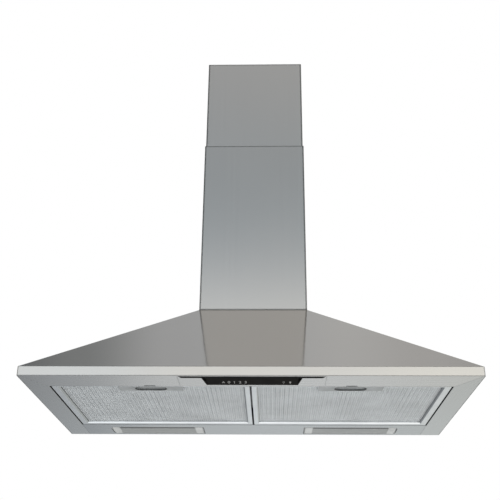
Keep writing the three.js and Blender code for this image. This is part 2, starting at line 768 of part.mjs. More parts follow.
// Fixed latch plate with the oval finger cup. Its rear half is hollow for the slide.
function latchHousing() {
  const half = LATCH_LENGTH / 2;
  const y0 = FILTER_FORE + FILTER_LIP + FIT;
  const y1 = y0 + LATCH_DEPTH;
  const middle = (y0 + y1) / 2;
  const z0 = FILTER_BASE;
  const z1 = z0 + LATCH_HEIGHT;
  const low = latchTongueZ() - FIT;
  const high = low + TONGUE_THICK + 2 * FIT;
  const tongue = TONGUE_WIDTH / 2 + FIT;
  const carrier = LATCH_CUP_LENGTH / 2 + MOULDING + FIT;
  return cut(
    upright(rectangle(-half, half, y0, y1, [2, 2, 2, 2]), z0, z1, 2),
    upright(stadium(0, middle, LATCH_CUP_LENGTH, LATCH_CUP_WIDTH), z0 - 1, z1 - SHEET, 4),
    block(-carrier, carrier, middle - LATCH_CUP_WIDTH / 2, y1 - SHEET, low, high),
    block(-tongue, tongue, y0 - 1, middle, low, high),
  );
}

// Sliding bolt: a finger bar in the cup, a carrier plate over it and the tongue in front.
function latchSlide() {
  const y0 = FILTER_FORE + FILTER_LIP + FIT;
  const middle = y0 + LATCH_DEPTH / 2;
  const tongueZ = latchTongueZ();
  const bar = LATCH_CUP_LENGTH / 2 - BAR_INSET;
  const barFront = middle - LATCH_CUP_WIDTH / 2 + 2;
  const tip = OPENING_FRONT - SHEET - TONGUE_REACH - FILTER_AXIS_Y;
  return join(
    block(-bar, bar, barFront, barFront + LATCH_BAR, FILTER_BASE + BAR_RAISE, tongueZ + TONGUE_THICK),
    block(
      -LATCH_CUP_LENGTH / 2 - MOULDING,
      LATCH_CUP_LENGTH / 2 + MOULDING,
      barFront,
      y0 + LATCH_DEPTH - SHEET - LATCH_TRAVEL - FIT,
      tongueZ,
      tongueZ + TONGUE_THICK,
    ),
    block(-TONGUE_WIDTH / 2, TONGUE_WIDTH / 2, tip, barFront + 1, tongueZ, tongueZ + TONGUE_THICK),
  );
}

function filter(side) {
  const tag = side < 0 ? "left" : "right";
  return assembly(
    side * FILTER_CENTRE,
    FILTER_AXIS_Y,
    FILTER_AXIS_Z,
    piece("filter_frame_" + tag, filterFrame(side), aluminium),
    piece("filter_mesh_" + tag, filterMesh(side), aluminium),
    piece("latch_housing_" + tag, latchHousing(), greyPlastic),
    piece("latch_slide_" + tag, latchSlide(), greyPlastic),
  );
}

// ---------------------------------------------------------------- lamps

// Cover lens: a shallow tray with a rounded outer end and light-spreading ribs inside.
function lampLens(side) {
  const inner = LENS_LENGTH / 2 - LENS_WALL;
  const spread = LENS_WIDTH - 4 * LENS_WALL;
  const pitch = spread / LENS_RIBS;
  const ribs = Array.from({ length: LENS_RIBS }, (_, i) => {
    const y = -LENS_WIDTH + 2 * LENS_WALL + (i + 0.25) * pitch;
    return block(-inner + LENS_CORNER, inner, y, y + pitch / 2, LENS_WALL / 2, LENS_WALL + RIB_HEIGHT);
  });
  const tray = cut(
    upright(lensOutline(0), FIT, LENS_HEIGHT, 4),
    upright(lensOutline(-LENS_WALL), LENS_WALL, LENS_HEIGHT + 1, 4),
  );
  return mirrored(join(tray, ...ribs), side);
}

// Pressed reflector: flared walls and a narrow lip that rests on the lamp panel.
function lampReflector() {
  const half = LENS_LENGTH / 2 + LENS_GAP + SHEET;
  const front = -LENS_WIDTH - LENS_GAP - SHEET;
  const rear = LENS_GAP + SHEET;
  const base = SHEET + FIT;
  const corners = Array(4).fill(REFLECTOR_CORNER);
  const shape = (grow) => rectangle(-half - grow, half + grow, front - grow, rear + grow, corners);
  const lip = rectangle(
    -half - REFLECTOR_LIP,
    half + REFLECTOR_LIP,
    front - REFLECTOR_LIP,
    rear + REFLECTOR_LIP / 2,
    corners,
  );
  const flare = -REFLECTOR_FLARE;
  return cut(
    join(
      upright(lip, base, base + SHEET, 2),
      loft(shape(SHEET), base, shape(flare + SHEET), REFLECTOR_HEIGHT),
    ),
    loft(shape(0), base - SHEET / 2, shape(flare), REFLECTOR_HEIGHT - SHEET),
    rod(
      SOCKET_RADIUS + FIT,
      [-half - REFLECTOR_FLARE, -LENS_WIDTH / 2, BULB_Z],
      [-half / 2, -LENS_WIDTH / 2, BULB_Z],
    ),
  );
}

// Lamp holder: a barrel through the reflector's end wall with a collar outside.
function lampSocket() {
  const x0 = -LENS_LENGTH / 2 - SOCKET_INSET;
  const y = -LENS_WIDTH / 2;
  return cut(
    join(
      rod(SOCKET_RADIUS, [x0, y, BULB_Z], [x0 + SOCKET_LENGTH, y, BULB_Z]),
      rod(SOCKET_RADIUS + SOCKET_COLLAR, [x0, y, BULB_Z], [x0 + SOCKET_BASE, y, BULB_Z]),
    ),
    rod(
      BULB_CAP_RADIUS + FIT,
      [x0 + SOCKET_LENGTH - BULB_CAP_LENGTH, y, BULB_Z],
      [x0 + SOCKET_LENGTH + 1, y, BULB_Z],
    ),
  );
}

// Candle bulb with its screw cap, lying along the reflector.
function lampBulb() {
  const cap = BULB_CAP_LENGTH - FIT;
  const glassLength = BULB_LENGTH - BULB_CAP_LENGTH;
  const profile = [
    [0, 0],
    [BULB_CAP_RADIUS, 0],
    [BULB_CAP_RADIUS, cap],
    [BULB_CAP_RADIUS * 1.2, cap + 1],
  ];
  const rings = 8;
  for (let i = 1; i < rings; i += 1) {
    const t = i / rings;
    const bulge = Math.sin(Math.PI * Math.pow(t, 0.85));
    const neck = BULB_CAP_RADIUS * 1.2 * (1 - t);
    profile.push([Math.max(neck, BULB_RADIUS * bulge), cap + 1 + glassLength * t]);
  }
  profile.push([0, cap + 1 + glassLength]);
  const body = turned(profile, 20).rotate([0, 90, 0]);
  const x0 = -LENS_LENGTH / 2 - SOCKET_INSET + SOCKET_LENGTH - BULB_CAP_LENGTH + FIT;
  return moved(body, x0, -LENS_WIDTH / 2, BULB_Z);
}

function lamp(side) {
  const tag = side < 0 ? "left" : "right";
  return assembly(
    side * LENS_CENTRE,
    -LENS_REAR,
    0,
    piece("lamp_lens_" + tag, lampLens(side), frosted),
    piece("lamp_reflector_" + tag, mirrored(lampReflector(), side), aluminium),
    piece("lamp_socket_" + tag, mirrored(lampSocket(), side), whitePlastic),
    piece("lamp_bulb_" + tag, mirrored(lampBulb(), side), glass),
  );
}

// ---------------------------------------------------------------- controls

const WINDOW_Y = -HOOD_DEPTH + WINDOW_FRONT;
const WINDOW_REAR = WINDOW_Y + WINDOW_DEPTH;
const CHANNEL_Y = (WINDOW_Y + WINDOW_REAR - LABEL_DEPTH) / 2; // middle of the slider channel

function windowOutline(grow) {
  return polygon([
    [-WINDOW_HALF_FRONT - grow, WINDOW_Y - grow],
    [WINDOW_HALF_FRONT + grow, WINDOW_Y - grow],
    [WINDOW_HALF_REAR + grow, WINDOW_REAR + grow],
    [-WINDOW_HALF_REAR - grow, WINDOW_REAR + grow],
  ]);
}

// Stainless plate let into the front strip, with ears that screw up into the frame.
function controlPlate() {
  const half = PLATE_HALF - FIT;
  const front = -HOOD_DEPTH + PLATE_FRONT;
  const rear = front + PLATE_DEPTH;
  const ear = (x) => block(x, x + SHEET, front + 4, rear - 4, 0, FRAME_FLANGE);
  return cut(
    join(block(-half, half, front, rear, 0, SHEET), ear(-half), ear(half - SHEET)),
    upright(windowOutline(0), -SHEET, 2 * SHEET),
  );
}

// Side profile of the recess: flat slider channel in front, then the label face sloping down to the rear.
function recessProfile(lift) {
  const crease = WINDOW_REAR - LABEL_DEPTH;
  const floor = SHEET + FIT;
  return polygon([
    [WINDOW_Y - lift, floor - 2],
    [WINDOW_REAR + lift, floor - 2],
    [WINDOW_REAR + lift, floor + lift],
    [crease, HOUSING_HEIGHT + lift],
    [WINDOW_Y - lift, HOUSING_HEIGHT + lift],
  ]);
}

// Moulded housing over the window. Two slots in the channel let the slider stems through.
function controlHousing() {
  const slot = (from, travel) => {
    const x0 = Math.min(from, from + travel) - KNOB_STEM / 2 - 1;
    const x1 = Math.max(from, from + travel) + KNOB_STEM / 2 + 1;
    const half = CHANNEL_SLOT / 2;
    return block(x0, x1, CHANNEL_Y - half, CHANNEL_Y + half, 0, HOUSING_HEIGHT + 2 * MOULDING);
  };
  const base = SHEET + FIT;
  const outer = WINDOW_HALF_FRONT + HOUSING_LIP;
  return cut(
    join(
      sideways(recessProfile(MOULDING), -outer, outer),
      upright(windowOutline(HOUSING_LIP), base, base + MOULDING),
    ),
    block(-2 * outer, 2 * outer, -HOOD_DEPTH, 0, -base, base),
    upright(windowOutline(0), -1, HOUSING_HEIGHT + 1).intersect(sideways(recessProfile(0), -outer, outer)),
    slot(FAN_KNOB_X, FAN_STEP * FAN_STEPS),
    slot(LAMP_KNOB_X, LAMP_STEP),
  );
}

// Slider: ribbed cap below the channel, a stem through the slot and a shoe above it.
function sliderKnob() {
  const roof = HOUSING_HEIGHT;
  const bottom = roof - FIT - KNOB_HEIGHT;
  const half = KNOB_LENGTH / 2;
  const side = KNOB_WIDTH / 2;
  const rib = GRIP_WIDTH / 2;
  const grip = (x) => block(x - rib, x + rib, -side, side, bottom - GRIP_HEIGHT, bottom + 1);
  const shoe = roof + MOULDING + FIT;
  return join(
    block(-half, half, -side, side, bottom, roof - FIT),
    grip(-GRIP_PITCH),
    grip(0),
    grip(GRIP_PITCH),
    block(-KNOB_STEM / 2, KNOB_STEM / 2, -KNOB_STEM / 2, KNOB_STEM / 2, roof - 1, shoe + 1),
    block(-KNOB_STEM, KNOB_STEM, -KNOB_STEM, KNOB_STEM, shoe, shoe + SHOE_HEIGHT),
  );
}

// Circuit board over the channel with the two slide switches' bodies.
function switchBoard() {
  const z0 = HOUSING_HEIGHT + MOULDING + 2 * FIT + BOARD_LIFT;
  const y0 = CHANNEL_Y - BOARD_DEPTH / 2;
  const y1 = CHANNEL_Y + BOARD_DEPTH / 2;
  const body = (from, travel) => {
    const x0 = Math.min(from, from + travel) - SWITCH_MARGIN;
    const x1 = Math.max(from, from + travel) + SWITCH_MARGIN;
    return block(x0, x1, y0 + 2, y1 - 2, z0 + 0.5, z0 + BOARD_THICK + SWITCH_HEIGHT);
  };
  const left = FAN_KNOB_X - BOARD_REACH;
  const right = LAMP_KNOB_X + LAMP_STEP + BOARD_END;
  const post = (x) => block(x, x + BOARD_POST, y0, y1, HOUSING_HEIGHT + MOULDING + FIT, z0 + 0.5);
  return join(
    block(left, right, y0, y1, z0, z0 + BOARD_THICK),
    body(FAN_KNOB_X, FAN_STEP * FAN_STEPS),
    body(LAMP_KNOB_X, LAMP_STEP),
    post(left),
    post(right - BOARD_POST),
  );
}

function controls() {
  return assembly(
    CONTROL_X,
    0,
    0,
    piece("control_plate", controlPlate(), stainless),
    piece("control_housing", controlHousing(), blackPlastic),
    piece("switch_board", switchBoard(), boardGreen),
    assembly(FAN_KNOB_X, CHANNEL_Y, 0, piece("fan_slider", sliderKnob(), blackPlastic)),
    assembly(LAMP_KNOB_X, CHANNEL_Y, 0, piece("lamp_slider", sliderKnob(), blackPlastic)),
  );
}

// ---------------------------------------------------------------- blower

// Drawn round the impeller axis, which is the X axis here. +Y is to the wall.
const SCROLL_TOP = CANOPY_HEIGHT - SHEET - FIT - BLOWER_Z;
const CUTOFF = IMPELLER_RADIUS + SCROLL_CLEARANCE;

// Spiral casing outline, opening into a straight outlet that rises at the rear.
function scrollOutline(grow, top) {
  const points = [];
  const steps = 24;
  const sweep = Math.PI * 1.5;
  for (let i = 0; i <= steps; i += 1) {
    const t = i / steps;
    const angle = Math.PI / 2 + sweep * t;
    const radius = CUTOFF + SCROLL_GROWTH * t + grow;
    points.push([radius * Math.cos(angle), radius * Math.sin(angle)]);
  }
  const rear = CUTOFF + SCROLL_GROWTH + grow;
  const front = CUTOFF + SCROLL_GROWTH - OUTLET_DEPTH - grow;
  points.push([rear, top], [front, top], [front, CUTOFF + grow]);
  return polygon(points);
}

// One half of the casing, with its side wall, bell-mouthed inlet and outlet flange. side -1 is the left half.
function scrollHalf(side) {
  const width = SCROLL_WIDTH / 2;
  const rear = CUTOFF + SCROLL_GROWTH;
  const front = rear - OUTLET_DEPTH;
  const flange = SCROLL_FLANGE + SCROLL_WALL;
  const outer = sideways(scrollOutline(SCROLL_WALL, SCROLL_TOP), FIT / 2, width);
  const inner = sideways(scrollOutline(0, SCROLL_TOP + 1), -1, width - SCROLL_WALL);
  const bell = rod(INLET_RADIUS + INLET_WALL, [width - SCROLL_WALL / 2, 0, 0], [width + INLET_LIP, 0, 0], 36);
  const lipEnd = width + SCROLL_FLANGE;
  const lip = block(FIT / 2, lipEnd, front - flange, rear + flange, SCROLL_TOP - 2, SCROLL_TOP);
  const made = cut(
    join(outer, bell, lip),
    inner,
    rod(INLET_RADIUS, [0, 0, 0], [width + INLET_LIP + 1, 0, 0], 36),
  );
  return side > 0 ? made : made.mirror([1, 0, 0]);
}

// One forward-curved blade, drawn as a thin arc between the inner and outer circles.
function bladeSection() {
  const inner = IMPELLER_RADIUS - BLADE_DEPTH;
  const outer = IMPELLER_RADIUS - 0.5;
  const arc = 2;
  const face = [];
  const back = [];
  for (let i = 0; i <= arc; i += 1) {
    const t = i / arc;
    const radius = inner + (outer - inner) * t;
    const angle = BLADE_CURVE * t * t;
    const half = BLADE_THICK / 2 / radius;
    face.push([radius * Math.cos(angle - half), radius * Math.sin(angle - half)]);
    back.unshift([radius * Math.cos(angle + half), radius * Math.sin(angle + half)]);
  }
  return polygon([...face, ...back]);
}

function ringPlate(outerRadius, innerRadius, x0, x1, sides) {
  return cut(
    rod(outerRadius, [x0, 0, 0], [x1, 0, 0], sides),
    rod(innerRadius, [x0 - 1, 0, 0], [x1 + 1, 0, 0], sides),
  );
}

// Cage of curved blades from x0 to x1.
function bladeCage(x0, x1) {
  const blade = sideways(bladeSection(), x0, x1);
  return Array.from({ length: BLADES }, (_, i) => blade.rotate([(360 * i) / BLADES, 0, 0]));
}

// Right half of the squirrel-cage impeller, open at its end: blades between a ring and the disc with the hub.
function impellerRight() {
  const half = IMPELLER_WIDTH / 2;
  const face = RING_THICK / 2;
  return cut(
    join(
      ringPlate(IMPELLER_RADIUS, IMPELLER_RADIUS - RING_WIDTH, half - RING_THICK, half, RING_SIDES),
      rod(IMPELLER_RADIUS, [-face, 0, 0], [face, 0, 0], RING_SIDES),
      rod(HUB_RADIUS, [-face, 0, 0], [HUB_LENGTH, 0, 0], 20),
      ...bladeCage(0, half - face),
    ),
    rod(SHAFT_RADIUS + FIT, [-RING_THICK, 0, 0], [HUB_LENGTH - RING_THICK, 0, 0], 16),
  );
}

// Left half, clipped to the disc: blades between two rings, round the motor.
function impellerLeft() {
  const half = IMPELLER_WIDTH / 2;
  const seat = -RING_THICK / 2 - FIT;
  const inner = IMPELLER_RADIUS - RING_WIDTH;
  return join(
    ringPlate(IMPELLER_RADIUS, inner, -half, -half + RING_THICK, RING_SIDES),
    ringPlate(IMPELLER_RADIUS, inner, seat - RING_THICK, seat, RING_SIDES),
    ...bladeCage(-half + RING_THICK / 2, seat - RING_THICK / 2),
  );
}

// Motor of the left inlet: a drum with a rounded shoulder, inside the impeller.
const MOTOR_END = -RING_THICK / 2 - MOTOR_GAP; // inner face of the motor
const MOTOR_START = MOTOR_END - MOTOR_LENGTH;

function motorBody() {
  const drum = turned(
    [
      [0, 0],
      [MOTOR_RADIUS - MOTOR_SHOULDER, 0],
      [MOTOR_RADIUS, MOTOR_SHOULDER],
      [MOTOR_RADIUS, MOTOR_LENGTH - MOTOR_SHOULDER],
      [MOTOR_RADIUS - MOTOR_SHOULDER, MOTOR_LENGTH],
      [0, MOTOR_LENGTH],
    ],
    32,
  ).rotate([0, 90, 0]);
  const bore = rod(SHAFT_RADIUS + FIT, [MOTOR_END - SHAFT_DEPTH, 0, 0], [MOTOR_END + 1, 0, 0], 16);
  return cut(moved(drum, MOTOR_START, 0, 0), bore);
}

// Shaft from inside the motor to the hub of the impeller.
function motorShaft() {
  const end = MOTOR_END - SHAFT_DEPTH + FIT;
  const stop = HUB_LENGTH - RING_THICK - FIT;
  return rod(SHAFT_RADIUS, [end, 0, 0], [stop, 0, 0], 16);
}

// Three-armed carrier that holds the motor in the left inlet.
function motorSpider() {
  const start = -SCROLL_WIDTH / 2 - INLET_LIP - FIT - SPIDER_THICK;
  const end = start + SPIDER_THICK;
  const reach = INLET_RADIUS + INLET_WALL - 1;
  const arm = block(start, end, -SPIDER_ARM_WIDTH / 2, SPIDER_ARM_WIDTH / 2, 0, reach);
  const arms = Array.from({ length: SPIDER_ARMS }, (_, i) => arm.rotate([(360 * i) / SPIDER_ARMS, 0, 0]));
  return join(rod(SPIDER_RADIUS, [start, 0, 0], [MOTOR_START - FIT, 0, 0], 24), ...arms);
}

function blower() {
  return assembly(
    0,
    BLOWER_Y,
    BLOWER_Z,
    piece("scroll_left", scrollHalf(-1), zincSheet),
    piece("scroll_right", scrollHalf(1), zincSheet),
    piece("motor_body", motorBody(), zincSheet),
    piece("motor_spider", motorSpider(), zincSheet),
    piece("motor_shaft", motorShaft(), aluminium),
    piece("impeller", impellerRight(), darkPlastic),
    piece("impeller_left", impellerLeft(), darkPlastic),
  );
}

// ---------------------------------------------------------------- outlet collar and damper

// Drawn with the collar's axis at X = Y = 0 and Z = 0 at its foot.
function outletCollar() {
  const inner = COLLAR_RADIUS - COLLAR_WALL;
  const stop = 3;
  const stopTop = SPINDLE_Z - FLAP_THICK / 2 - FIT;
  const tube = turned(
    [
      [inner, 0],
      [COLLAR_RADIUS + COLLAR_FLANGE, 0],
      [COLLAR_RADIUS + COLLAR_FLANGE, COLLAR_WALL],
      [COLLAR_RADIUS, COLLAR_WALL],
      [COLLAR_RADIUS, COLLAR_HEIGHT],
      [inner, COLLAR_HEIGHT],
      [inner, 0],
    ],
    36,
  );
  const ledge = (y) => block(-LEDGE_HALF, LEDGE_HALF, y - stop, y + stop, stopTop - 3, stopTop);
  const hole = rod(
    SPINDLE_RADIUS + FIT,
    [-COLLAR_RADIUS - 1, 0, SPINDLE_Z],
    [COLLAR_RADIUS + 1, 0, SPINDLE_Z],
    12,
  );
  const bounds = rod(COLLAR_RADIUS - COLLAR_WALL / 2, [0, 0, 0], [0, 0, COLLAR_HEIGHT], 36);
  const ledges = join(ledge(inner), ledge(-inner)).intersect(bounds);
  return cut(join(tube, ledges), hole);
}

function damperSpindle() {
  const end = COLLAR_RADIUS + 1;
  return rod(SPINDLE_RADIUS, [-end, 0, SPINDLE_Z], [end, 0, SPINDLE_Z], 12);
}

// Half-round flap with two knuckles on the spindle. The other flap's knuckles lie beside them,
// so that the four of them close the gap between the two plates.
function damperFlap(side) {
  const radius = COLLAR_RADIUS - COLLAR_WALL - FLAP_GAP;
  const low = -FLAP_THICK / 2;
  const edge = KNUCKLE_RADIUS + KNUCKLE_PLAY;
  const pitch = KNUCKLE_LENGTH + KNUCKLE_PLAY;
  const first = (KNUCKLE_PLAY - KNUCKLES * pitch) / 2;
  const plate = cut(
    upright(disc(0, 0, radius), low, low + FLAP_THICK, 12),
    block(-radius - 1, radius + 1, -radius - 1, edge, -3, 3),
  );
  const knuckles = [];
  for (let i = side > 0 ? 0 : 1; i < KNUCKLES; i += 2) {
    const x = first + i * pitch;
    knuckles.push(rod(KNUCKLE_RADIUS, [x, 0, 0], [x + KNUCKLE_LENGTH, 0, 0], 12));
    knuckles.push(block(x, x + KNUCKLE_LENGTH, 0, edge + 1, low, low + FLAP_THICK));
  }
  const bore = rod(SPINDLE_RADIUS + FIT, [-radius, 0, 0], [radius, 0, 0], 12);
  const made = cut(join(plate, ...knuckles), bore);
  return side > 0 ? made : made.mirror([0, 1, 0]);
}

function outlet() {
  return assembly(
    0,
    COLLAR_Y,
    CANOPY_TOP,
    piece("outlet_collar", outletCollar(), darkPlastic),
    piece("damper_spindle", damperSpindle(), aluminium),
    assembly(
      0,
      0,
      SPINDLE_Z,
      piece("damper_flap_rear", damperFlap(1), darkPlastic),
      piece("damper_flap_front", damperFlap(-1), darkPlastic),
    ),
  );
}

// ---------------------------------------------------------------- electrics

function electricsBox() {
  const rear = INSIDE_WALL;
  const front = rear - BOX_DEPTH;
  const outer = rearwards(
    rectangle(BOX_X, BOX_X + BOX_WIDTH, BOX_Z, BOX_Z + BOX_HEIGHT, [4, 4, 4, 4]),
    front,
    rear,
    2,
  );
  const inner = block(
    BOX_X + MOULDING,
    BOX_X + BOX_WIDTH - MOULDING,
    front - 1,
    rear - MOULDING,
    BOX_Z + MOULDING,
    BOX_Z + BOX_HEIGHT - MOULDING,
  );
  const entryX = BOX_X + WIRE_ENTRY_X;
  const entryY = rear - BOX_DEPTH / 2;
  const top = BOX_Z + BOX_HEIGHT;
  const entry = rod(WIRE_ENTRY, [entryX, entryY, top - 3 * MOULDING], [entryX, entryY, top + MOULDING]);
  return cut(outer, inner, entry);
}

function electricsLid() {
  const front = INSIDE_WALL - BOX_DEPTH - FIT;
  const plug = MOULDING + FIT;
  return join(
    rearwards(
      rectangle(BOX_X - 1, BOX_X + BOX_WIDTH + 1, BOX_Z - 1, BOX_Z + BOX_HEIGHT + 1, [5, 5, 5, 5]),
      front - MOULDING,
      front,
      2,
    ),
    block(
      BOX_X + plug,
      BOX_X + BOX_WIDTH - plug,
      front - 1,
      front + MOULDING,
      BOX_Z + plug,
      BOX_Z + BOX_HEIGHT - plug,
    ),
  );
}

// Terminal block on the box's rear wall: a barrier between each two poles.
function terminalBlock() {
  const x0 = BOX_X + BOX_WIDTH / 2 - TERMINAL_LENGTH / 2;
  const rear = INSIDE_WALL - MOULDING - FIT;
  const z1 = BOX_Z + BOX_HEIGHT - TERMINAL_DROP;
  const z0 = z1 - TERMINAL_HEIGHT;
  const pitch = TERMINAL_LENGTH / TERMINAL_POLES;
  const barriers = Array.from({ length: TERMINAL_POLES + 1 }, (_, i) => {
    const x = x0 + i * pitch - 0.75;
    return block(x, x + 1.5, rear - TERMINAL_DEPTH, rear, z0, z1);
  });
  const core = block(x0, x0 + TERMINAL_LENGTH, rear - 0.6 * TERMINAL_DEPTH, rear, z0 + 3, z1 - 3);
  return join(core, ...barriers);
}

function motorCapacitor() {
  const x0 = BOX_X + (BOX_WIDTH - CAPACITOR_LENGTH) / 2;
  const y = INSIDE_WALL - MOULDING - FIT - CAPACITOR_RADIUS;
  const z = BOX_Z + MOULDING + FIT + CAPACITOR_RADIUS;
  return join(
    rod(CAPACITOR_RADIUS, [x0, y, z], [x0 + CAPACITOR_LENGTH, y, z], 24),
    rod(4, [x0 - 6, y, z], [x0 + 1, y, z], 12),
  );
}

// Gland of the mains cable on the canopy top: hexagon foot, tapered dome and a clear bore.
function cableGland() {
  const profile = [
    [GLAND_BORE, 0],
    [GLAND_RADIUS, 0],
    [GLAND_RADIUS, GLAND_HEIGHT * 0.55],
    [GLAND_RADIUS - 2, GLAND_HEIGHT * 0.9],
    [GLAND_RADIUS - 3.5, GLAND_HEIGHT],
    [GLAND_BORE, GLAND_HEIGHT],
    [GLAND_BORE, 0],
  ];
  const nut = cut(
    rod(GLAND_NUT, [0, 0, 0], [0, 0, GLAND_NUT_HEIGHT], 6),
    rod(GLAND_BORE, [0, 0, -1], [0, 0, GLAND_NUT_HEIGHT + 1], 20),
  );
  return moved(join(nut, turned(profile, 20)), CABLE_X, CABLE_Y, CANOPY_TOP);
}

// ---------------------------------------------------------------- the hood

const footX = CHIMNEY_WIDTH / 2 - SHEET - FIT;
const lowerFoot = CANOPY_TOP;
const upperFoot = CANOPY_HEIGHT + LOWER_LENGTH + UPPER_SHOWN - UPPER_LENGTH;
const footMiddle = -CHIMNEY_DEPTH / 2;

const rightFoot = piece("chimney_foot_right", chimneyFoot(), zincSheet);
rightFoot.rotation.z = Math.PI;

const hood = assembly(
  0,
  0,
  -HOOK_HEIGHT,
  piece("canopy_shell", canopyShell(), stainless),
  piece("back_panel", backPanel(), zincSheet),
  piece("bottom_frame", frameFront(), stainless),
  piece("bottom_frame_left", frameSide(-1), stainless),
  piece("bottom_frame_right", frameSide(1), stainless),
  piece("lamp_panel", lampPanel(), stainless),
  filter(-1),
  filter(1),
  lamp(-1),
  lamp(1),
  controls(),
  blower(),
  outlet(),
  piece("electrics_box", electricsBox(), darkPlastic),
  piece("electrics_lid", electricsLid(), darkPlastic),
  piece("terminal_block", terminalBlock(), whitePlastic),
  piece("motor_capacitor", motorCapacitor(), aluminium),
  piece("cable_gland", cableGland(), blackPlastic),
  assembly(
    0,
    0,
    lowerFoot,
    piece("chimney_lower", coverSection(CHIMNEY_WIDTH, CHIMNEY_DEPTH, LOWER_LENGTH - FIT), stainless),
    assembly(-footX, footMiddle, FIT, piece("chimney_foot_left", chimneyFoot(), zincSheet)),
    assembly(footX, footMiddle, FIT, rightFoot),
  ),
  assembly(
    0,
    UPPER_REAR,
    upperFoot,
    piece("chimney_upper", chimneyUpper(), stainless),
    assembly(
      0,
      0,
      UPPER_LENGTH - BRACKET_HEIGHT - 2,
      piece("chimney_bracket", chimneyBracket(), zincSheet),
    ),
  ),
);

const part = new THREE.Group();
part.add(hood);

export default part;
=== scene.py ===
"""Looks of a wall-mounted chimney range hood: finishes, weave, trim, symbols and fasteners."""

import math

import bpy
from mathutils import Matrix, Quaternion, Vector


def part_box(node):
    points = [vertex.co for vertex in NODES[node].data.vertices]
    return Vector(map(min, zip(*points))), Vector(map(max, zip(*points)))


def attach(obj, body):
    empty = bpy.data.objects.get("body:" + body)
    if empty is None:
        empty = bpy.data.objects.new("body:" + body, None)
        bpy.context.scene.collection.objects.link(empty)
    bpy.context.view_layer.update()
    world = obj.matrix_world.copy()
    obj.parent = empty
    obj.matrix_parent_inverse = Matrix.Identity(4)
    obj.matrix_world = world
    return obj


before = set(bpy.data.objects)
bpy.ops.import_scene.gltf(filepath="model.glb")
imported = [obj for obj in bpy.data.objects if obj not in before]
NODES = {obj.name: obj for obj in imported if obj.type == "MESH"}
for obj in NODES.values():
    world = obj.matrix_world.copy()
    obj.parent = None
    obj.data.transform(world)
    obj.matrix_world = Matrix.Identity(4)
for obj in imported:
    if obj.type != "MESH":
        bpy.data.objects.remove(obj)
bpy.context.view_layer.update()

MM = 0.001
SIDES = ("left", "right")
RIM_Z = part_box("canopy_shell")[0].z  # underside of the rim


def both(stem):
    return [f"{stem}_{side}" for side in SIDES]


# ---------------------------------------------------------------- camera

CAMERA_PLACE = (0.0407, -2.0604, RIM_Z - 0.4648)
CAMERA_TILT = 0.43726  # upwards, in radians
CAMERA_PAN = 0.02691  # to the left
CAMERA_ROLL = 0.0093
PHOTO_SIZE = 500  # pixels across the picture
FOCAL_PIXELS = 843.2
SENSOR = 36.0  # width in the units of the focal length
FARTHEST = 100  # metres


def make_camera():
    data = bpy.data.cameras.new("camera")
    data.sensor_width = SENSOR
    data.lens = FOCAL_PIXELS * SENSOR / PHOTO_SIZE
    data.clip_end = FARTHEST
    camera = bpy.data.objects.new("camera", data)
    bpy.context.collection.objects.link(camera)
    camera.location = CAMERA_PLACE
    level = math.cos(CAMERA_TILT)
    look = Vector(
        (
            -math.sin(CAMERA_PAN) * level,
            math.cos(CAMERA_PAN) * level,
            math.sin(CAMERA_TILT),
        )
    )
    camera.rotation_mode = "QUATERNION"
    roll = Quaternion((0, 0, 1), CAMERA_ROLL)
    camera.rotation_quaternion = look.to_track_quat("-Z", "Y") @ roll
    bpy.context.scene.camera = camera


make_camera()

# ---------------------------------------------------------------- node graphs


class Graph:
    """A node tree with short calls for the nodes that are used over and over."""

    def __init__(self, tree):
        self.tree = tree

    def node(self, kind, **values):
        made = self.tree.nodes.new(kind)
        for key, value in values.items():
            setattr(made, key, value)
        return made

    def feed(self, socket, value):
        """Sets a socket to a number or colour, or links another socket to it."""
        if isinstance(value, bpy.types.NodeSocket):
            self.tree.links.new(value, socket)
        elif isinstance(value, tuple) and len(value) == 3 and socket.type == "RGBA":
            socket.default_value = (*value, 1)
        else:
            socket.default_value = value

    def ramp(self, value, low, high, start=0.3, end=0.7):
        """The value taken from start..end to low..high, held at both ends."""
        made = self.node("ShaderNodeMapRange")
        self.feed(made.inputs["Value"], value)
        limits = {"From Min": start, "From Max": end, "To Min": low, "To Max": high}
        for name, number in limits.items():
            made.inputs[name].default_value = number
        return made.outputs[0]

    def math(self, operation, first, second=0.0):
        made = self.node("ShaderNodeMath", operation=operation)
        self.feed(made.inputs[0], first)
        self.feed(made.inputs[1], second)
        return made.outputs[0]

    def mix(self, factor, first, second, kind="FLOAT"):
        made = self.node("ShaderNodeMix", data_type=kind)
        sockets = {"FLOAT": (2, 3), "RGBA": (6, 7)}[kind]
        self.feed(made.inputs[0], factor)
        self.feed(made.inputs[sockets[0]], first)
        self.feed(made.inputs[sockets[1]], second)
        return made.outputs[{"FLOAT": 0, "RGBA": 2}[kind]]

    def blend(self, factor, first, second):
        """A colour between two colours."""
        return self.mix(factor, first, second, "RGBA")

    def times(self, first, second):
        """The product of two colours."""
        made = self.node("ShaderNodeMix", data_type="RGBA", blend_type="MULTIPLY")
        made.inputs[0].default_value = 1
        self.feed(made.inputs[6], first)
        self.feed(made.inputs[7], second)
        return made.outputs[2]

    def stops(self, value, levels, peak):
        """A smooth curve through pairs of a value, from -1 to 1, and a grey level or colour.

        What comes out is divided by peak.
        """
        made = self.node("ShaderNodeValToRGB")
        made.color_ramp.interpolation = "EASE"
        elements = made.color_ramp.elements
        while len(elements) < len(levels):
            elements.new(0.5)
        for element, (place, level) in zip(elements, levels):
            element.position = (place + 1) / 2
            color = level if isinstance(level, tuple) else (level, level, level)
            element.color = (*(c / peak for c in color), 1)
        self.feed(made.inputs[0], self.ramp(value, 0, 1, -1, 1))
        return made.outputs[0]


# ---------------------------------------------------------------- studio

